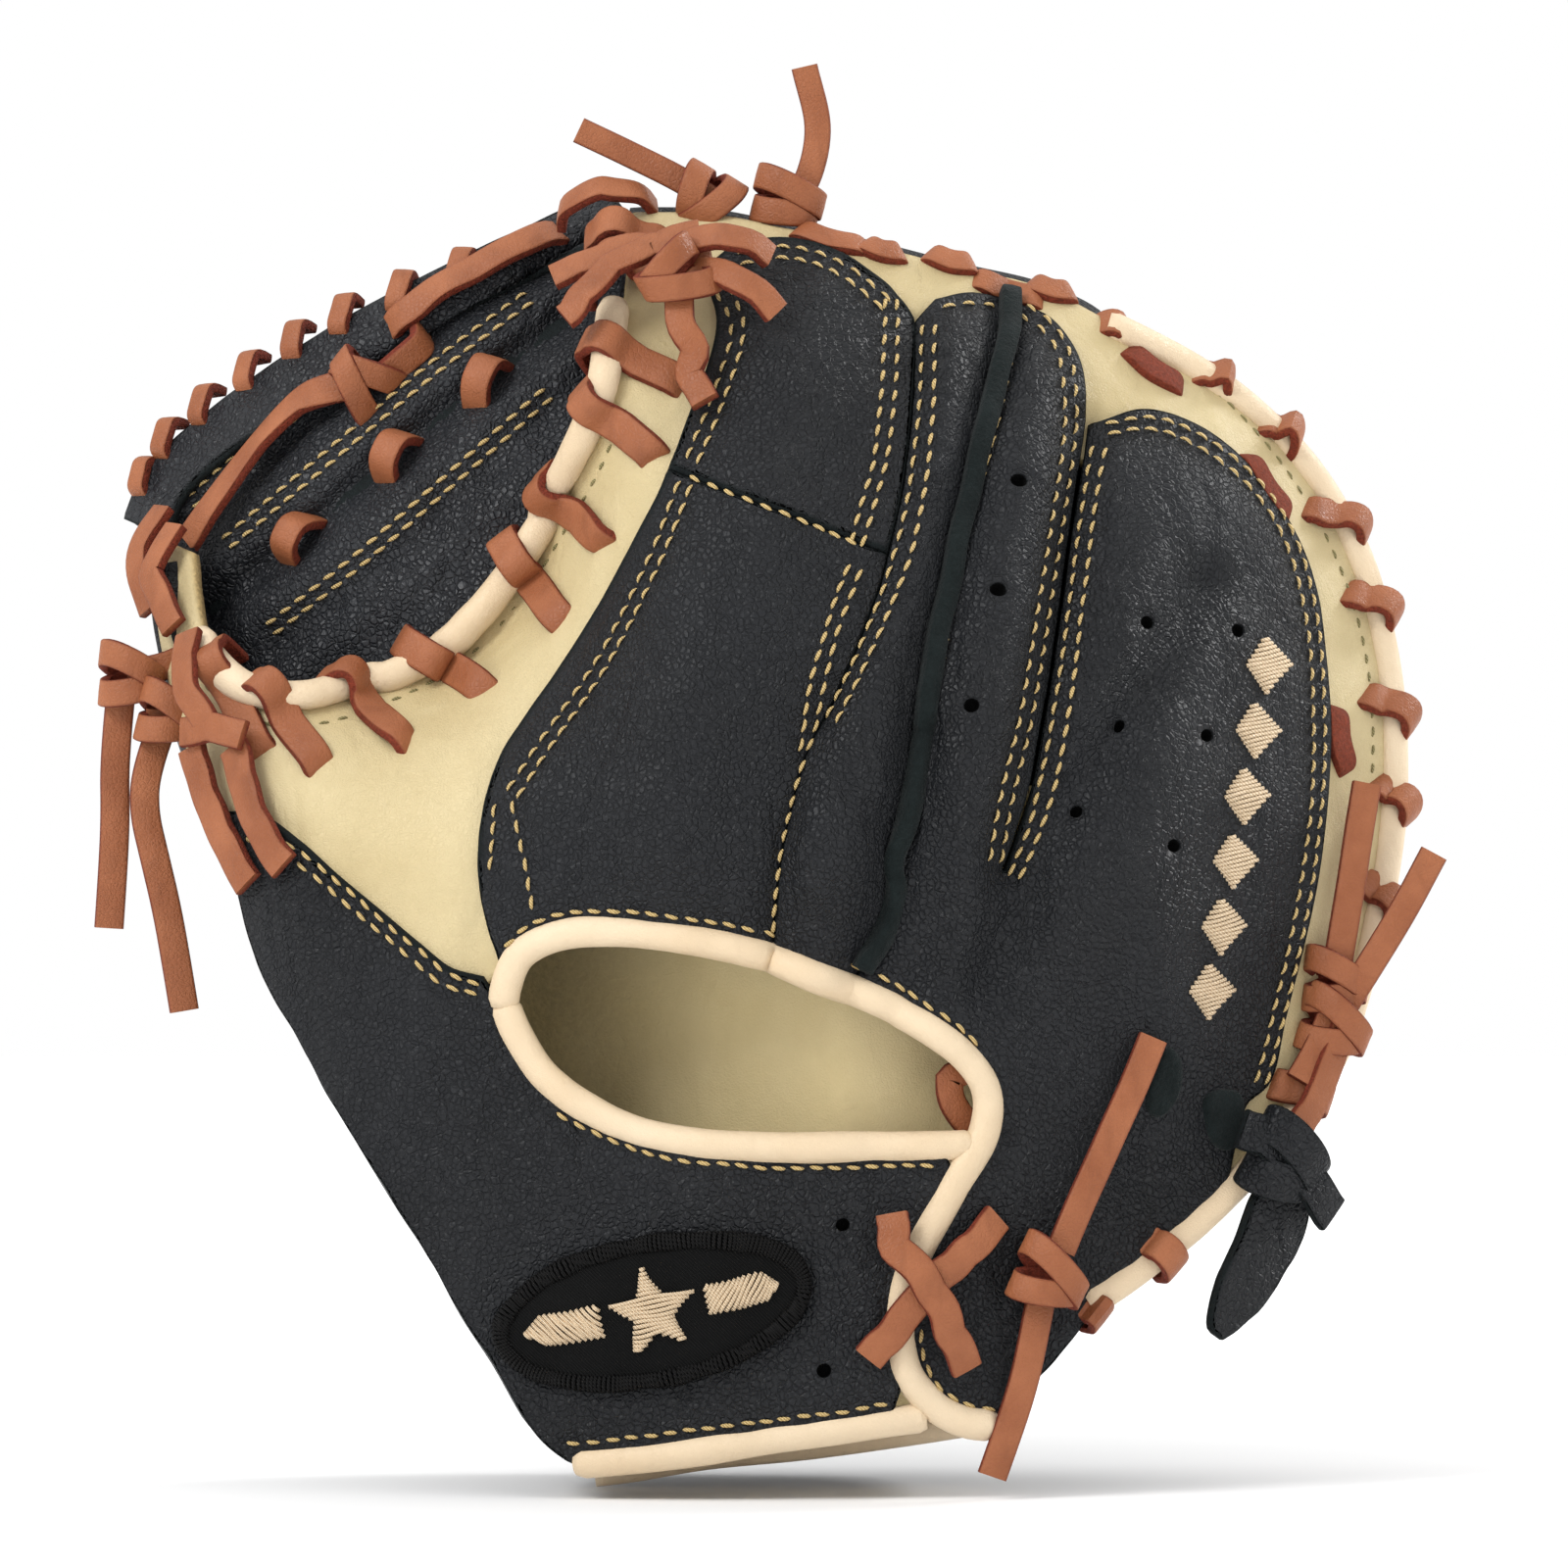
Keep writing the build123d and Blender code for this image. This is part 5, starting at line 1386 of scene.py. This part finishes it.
rim_laces = Mesh()
rim_line = smooth([(52, 236)] + RIM_ROLL + [(54, 30)], 1.5, 60)
RIM_BARS = [((66, 227), (80, 224.5)), ((84, 216.5), (100, 213)), ((97, 206.5), (112, 200.5)),
            ((106, 190.5), (121, 183)), ((114, 174), (127.5, 165.5)), ((117.5, 154), (129, 145)),
            ((119.5, 137), (128.5, 125)), ((116.5, 118), (125, 107)),
            ((98.5, 78.5), (112, 74)), ((72, 50), (81, 42)), ((60, 38), (68, 31.5))]
for start, end in RIM_BARS:
    wrap(rim_laces, start, end, rim_line, width=6.6)
lacing(rim_laces, FINGERS, ["rim_lace"], "rim_lacing")

tips = Mesh()
for start, end in [((6, 245), (20, 241.2)), ((19, 242), (27, 240)), ((32, 240.2), (41, 238)),
                   ((41, 235.5), (54.5, 231)),
                   ((52, 234.5), (60.5, 232.5)), ((71, 221.5), (82, 214)),
                   ((94.5, 201), (103, 188.5)),
                   ((111.8, 151.5), (114, 138.5))]:
    flesh = 0.9 if start[0] > 90 or start[0] == 71 else 0.0
    lace_bar(tips, start, end, back, top=0.8, bow=-1.0, dive=2.0, width=5.4, flesh=flesh)
lacing(tips, FINGERS, ["fingertip_lace"], "fingertip_lacing")

cross_lace = Mesh()
for points, lift in [([(44, 54), (33, 43), (19.5, 27)], 4.8),
                     ([(25, 55), (25.5, 48), (31, 40), (37.5, 25.5)], 7.2)]:
    laid(cross_lace, points, lambda t: lift - 2.4 * (2 * t - 1)**4, 6.4)
lacing(cross_lace, FINGERS, ["strap_cross_lace"], "strap_cross_lacing")

inner_bit = Mesh()
laid(inner_bit, [(44, 84), (36, 80), (38.5, 74), (43, 69)], -4.5, 5.4)
lacing(inner_bit, FINGERS, [], "opening_lace_bit")

loop = Mesh()
laid(loop, [(109, 90), (106, 81), (101, 70)], 6.0, 6.0)
lacing(loop, FINGERS, ["little_finger_loop"], "little_finger_lace_loop")

knots = Mesh()
knot(knots, (-12, 39.5, 251.5), (1, 0, -0.6), (4.6, 3.4))
knot(knots, (4.5, 38.5, 250.5), (0.25, 0, 1), (5.6, 3.4), slant=0.2)
knot(knots, (111.2, 20.5, 97.5), (0.15, 0, 1), (5.0, 3.6))
knot(knots, (111.0, 19.0, 89.0), (0.4, 0, 1), (5.6, 3.6))
knot(knots, (54.8, -15.2, 42.0), (0.45, 0, 1), (5.8, 3.2))
lacing(knots, FINGERS, ["finger_knots"], "finger_lace_knots")

loose = Mesh()
strand(loose, [(-9, 39.5, 250), (-16, 40, 254.5), (-26, 41, 259.6), (-36.5, 41, 264.6)], 5.2)
strand(loose, [(5, 38.5, 249), (8.8, 39.5, 256), (10.4, 40, 265), (7.8, 40, 277)], 5.2)
strand(loose, [(112, 18, 92), (118, 17.5, 101.5), (124.5, 19.5, 112), (130.5, 21, 123)], 5.6)
strand(loose, [(104, 13.5, 79), (107.5, 15.5, 85), (111, 18.5, 93)], 5.6)
lacing(loose, FINGERS, ["lace_ends"], "lace_ends_standing")

# ---------------------------------------------------------------- thong, patch and embroidery

thong = Mesh()
leather_sheet(thong, smooth([(97, 62), (103, 58), (103, 50), (99, 42), (93, 34), (87, 29),
                             (84.5, 31.5), (86, 40),
                             (90, 49), (93, 57)], 1.2, 60, True), back, 4.6, 2.2, spacing=1.8,
              raw=0.8)
knot_on(thong, back, (98, 63), 5.0, (0.5, 0, 0.9), (7.0, 4.4), 8.0)
laid(thong, [(88, 70), (94, 67), (101, 60), (105, 54)], 8.0, 8.0)
hang(thong, FINGERS, ["adjuster_thong"], "adjuster_thong_leather", black, "black_leather")

slots = Mesh()
for outline in ([(73, 74), (76, 72.5), (79, 76), (79.5, 84), (77.5, 86.5), (74.5, 83)],
                [(84, 76), (86.5, 77.5), (91, 77), (92, 70), (90, 66), (86, 67)]):
    leather_sheet(slots, smooth(outline, 1.0, 80, True), back, ON_TOP + 0.9, 1.6, spacing=1.6,
                  raw=9.0)
hang(slots, FINGERS, [], "adjuster_slot_patches", dark_suede, "raw_suede")

TILT = math.radians(12)
PATCH_X, PATCH_Z = -21, 36
patch = Mesh()
leather_sheet(patch, ellipse(PATCH_X, PATCH_Z, 31, 14.5, TILT), back, ON_TOP + 1.5, 1.4,
              spacing=1.8, raw=0.0)
hang(patch, BOTH, ["strap_patch"], "strap_patch_cloth", patch_felt, "black_leather")
border, satin = Mesh(), Mesh()


SATIN_PITCH = 0.8
BAND_PITCH = 0.75


def satin_stitch(mesh, row, height, pitch):
    place, normal = lay(back, row, height)
    section, marks = round_section(pitch * 0.56, 0.7, 5)
    sweep(mesh, section, place, normal, marks)


def satin_band(mesh, outline, width, lift):
    """Close-set satin stitches across a closed band, as a raised ribbed border."""
    line = even(outline, BAND_PITCH, True)
    stations = np.linspace(-1, 1, 7)
    for p, q in zip(line, leftward(line)):
        row = p + q * (stations * width / 2)[:, None]
        height = lift + 0.8 * np.sqrt(np.maximum(1 - stations**2, 0))
        satin_stitch(mesh, row, height, BAND_PITCH)


def satin_fill(mesh, outline, lift, turn):
    """Parallel satin stitches that fill an outline."""
    c, s = math.cos(turn), math.sin(turn)
    spun = outline @ arr([[c, -s], [s, c]])
    for level in np.arange(spun[:, 1].min() + SATIN_PITCH / 2, spun[:, 1].max(), SATIN_PITCH):
        hits = []
        for (x0, z0), (x1, z1) in zip(spun, np.roll(spun, -1, axis=0)):
            if (z0 > level) != (z1 > level):
                hits.append(x0 + (x1 - x0) * (level - z0) / (z1 - z0))
        hits.sort()
        for a, b in zip(hits[::2], hits[1::2]):
            if b - a < 0.6:
                continue
            x = np.linspace(a, b, max(4, int((b - a) / 1.5) + 2))
            row = np.stack([x, np.full(len(x), level)], axis=1) @ arr([[c, s], [-s, c]])
            t = np.linspace(-1, 1, len(x))
            satin_stitch(mesh, row, lift + 0.55 * (1 - t**4), SATIN_PITCH)


satin_band(border, ellipse(PATCH_X, PATCH_Z, 29.4, 12.9, TILT, 160), 3.2, ON_TOP + 1.3)
hang(border, BOTH, [], "patch_border", satin_black, "black_leather")


def placed(points):
    """Points of the patch's mark, turned and moved onto the patch."""
    c, s = math.cos(TILT), math.sin(TILT)
    return arr(points) @ arr([[c, s], [-s, c]]) + (PATCH_X, PATCH_Z)


STAR_TIP, STAR_NOTCH = 9.2, 4.0
star = []
for i in range(10):
    radius = STAR_TIP if i % 2 == 0 else STAR_NOTCH
    turn = math.pi / 2 + i * math.pi / 5
    star.append((radius * math.cos(turn), radius * math.sin(turn)))
satin_fill(satin, placed(star), ON_TOP + 1.5, TILT)
for side in (-1, 1):
    bar = [(side * 10, 3.2), (side * 21, 3.6), (side * 24.5, 0.6), (side * 21, -2.2),
           (side * 10, -3.0)]
    satin_fill(satin, placed(bar), ON_TOP + 1.5, TILT + side * 0.9)
hang(satin, BOTH, [], "patch_star", satin_cream, "cream_thread")

marks_mesh = Mesh()
for i in range(6):
    x, z = 85.5 + 2.3 * i, 97 + 12.5 * i
    diamond = [(x - 4.6, z), (x - 0.8, z + 5.6), (x + 4.6, z), (x - 0.8, z - 5.6)]
    satin_fill(marks_mesh, arr(diamond), ON_TOP, 0.2)
hang(marks_mesh, FINGERS, ["embroidered_mark"], "embroidered_diamonds", satin_cream, "cream_thread")

# ---------------------------------------------------------------- stitching meshes

for row in (single([(73, 224.5), (88, 213.8), (99, 202.5), (107, 191), (113.8, 177), (118, 162),
                    (119.3, 148), (119, 134)]), beside(CROTCH[1:-2], 4.6)):
    stitches(dull if row[0][0] > 0 else crotch_dull, row, back, 0.0, length=2.6, width=0.7)
for mesh, body, name, colour in (
        (crotch_dull, BOTH, "crotch_stitching", dull_thread),
        (dull, FINGERS, "rim_stitching", dull_thread),
        (finger_thread, FINGERS, "finger_stitching", cream_thread),
        (flex_thread, BOTH, "thumb_and_strap_stitching", cream_thread),
        (web_thread, BOTH, "web_stitching", cream_thread)):
    hang(mesh, body, [], name, colour, "cream_thread")

low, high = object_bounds()
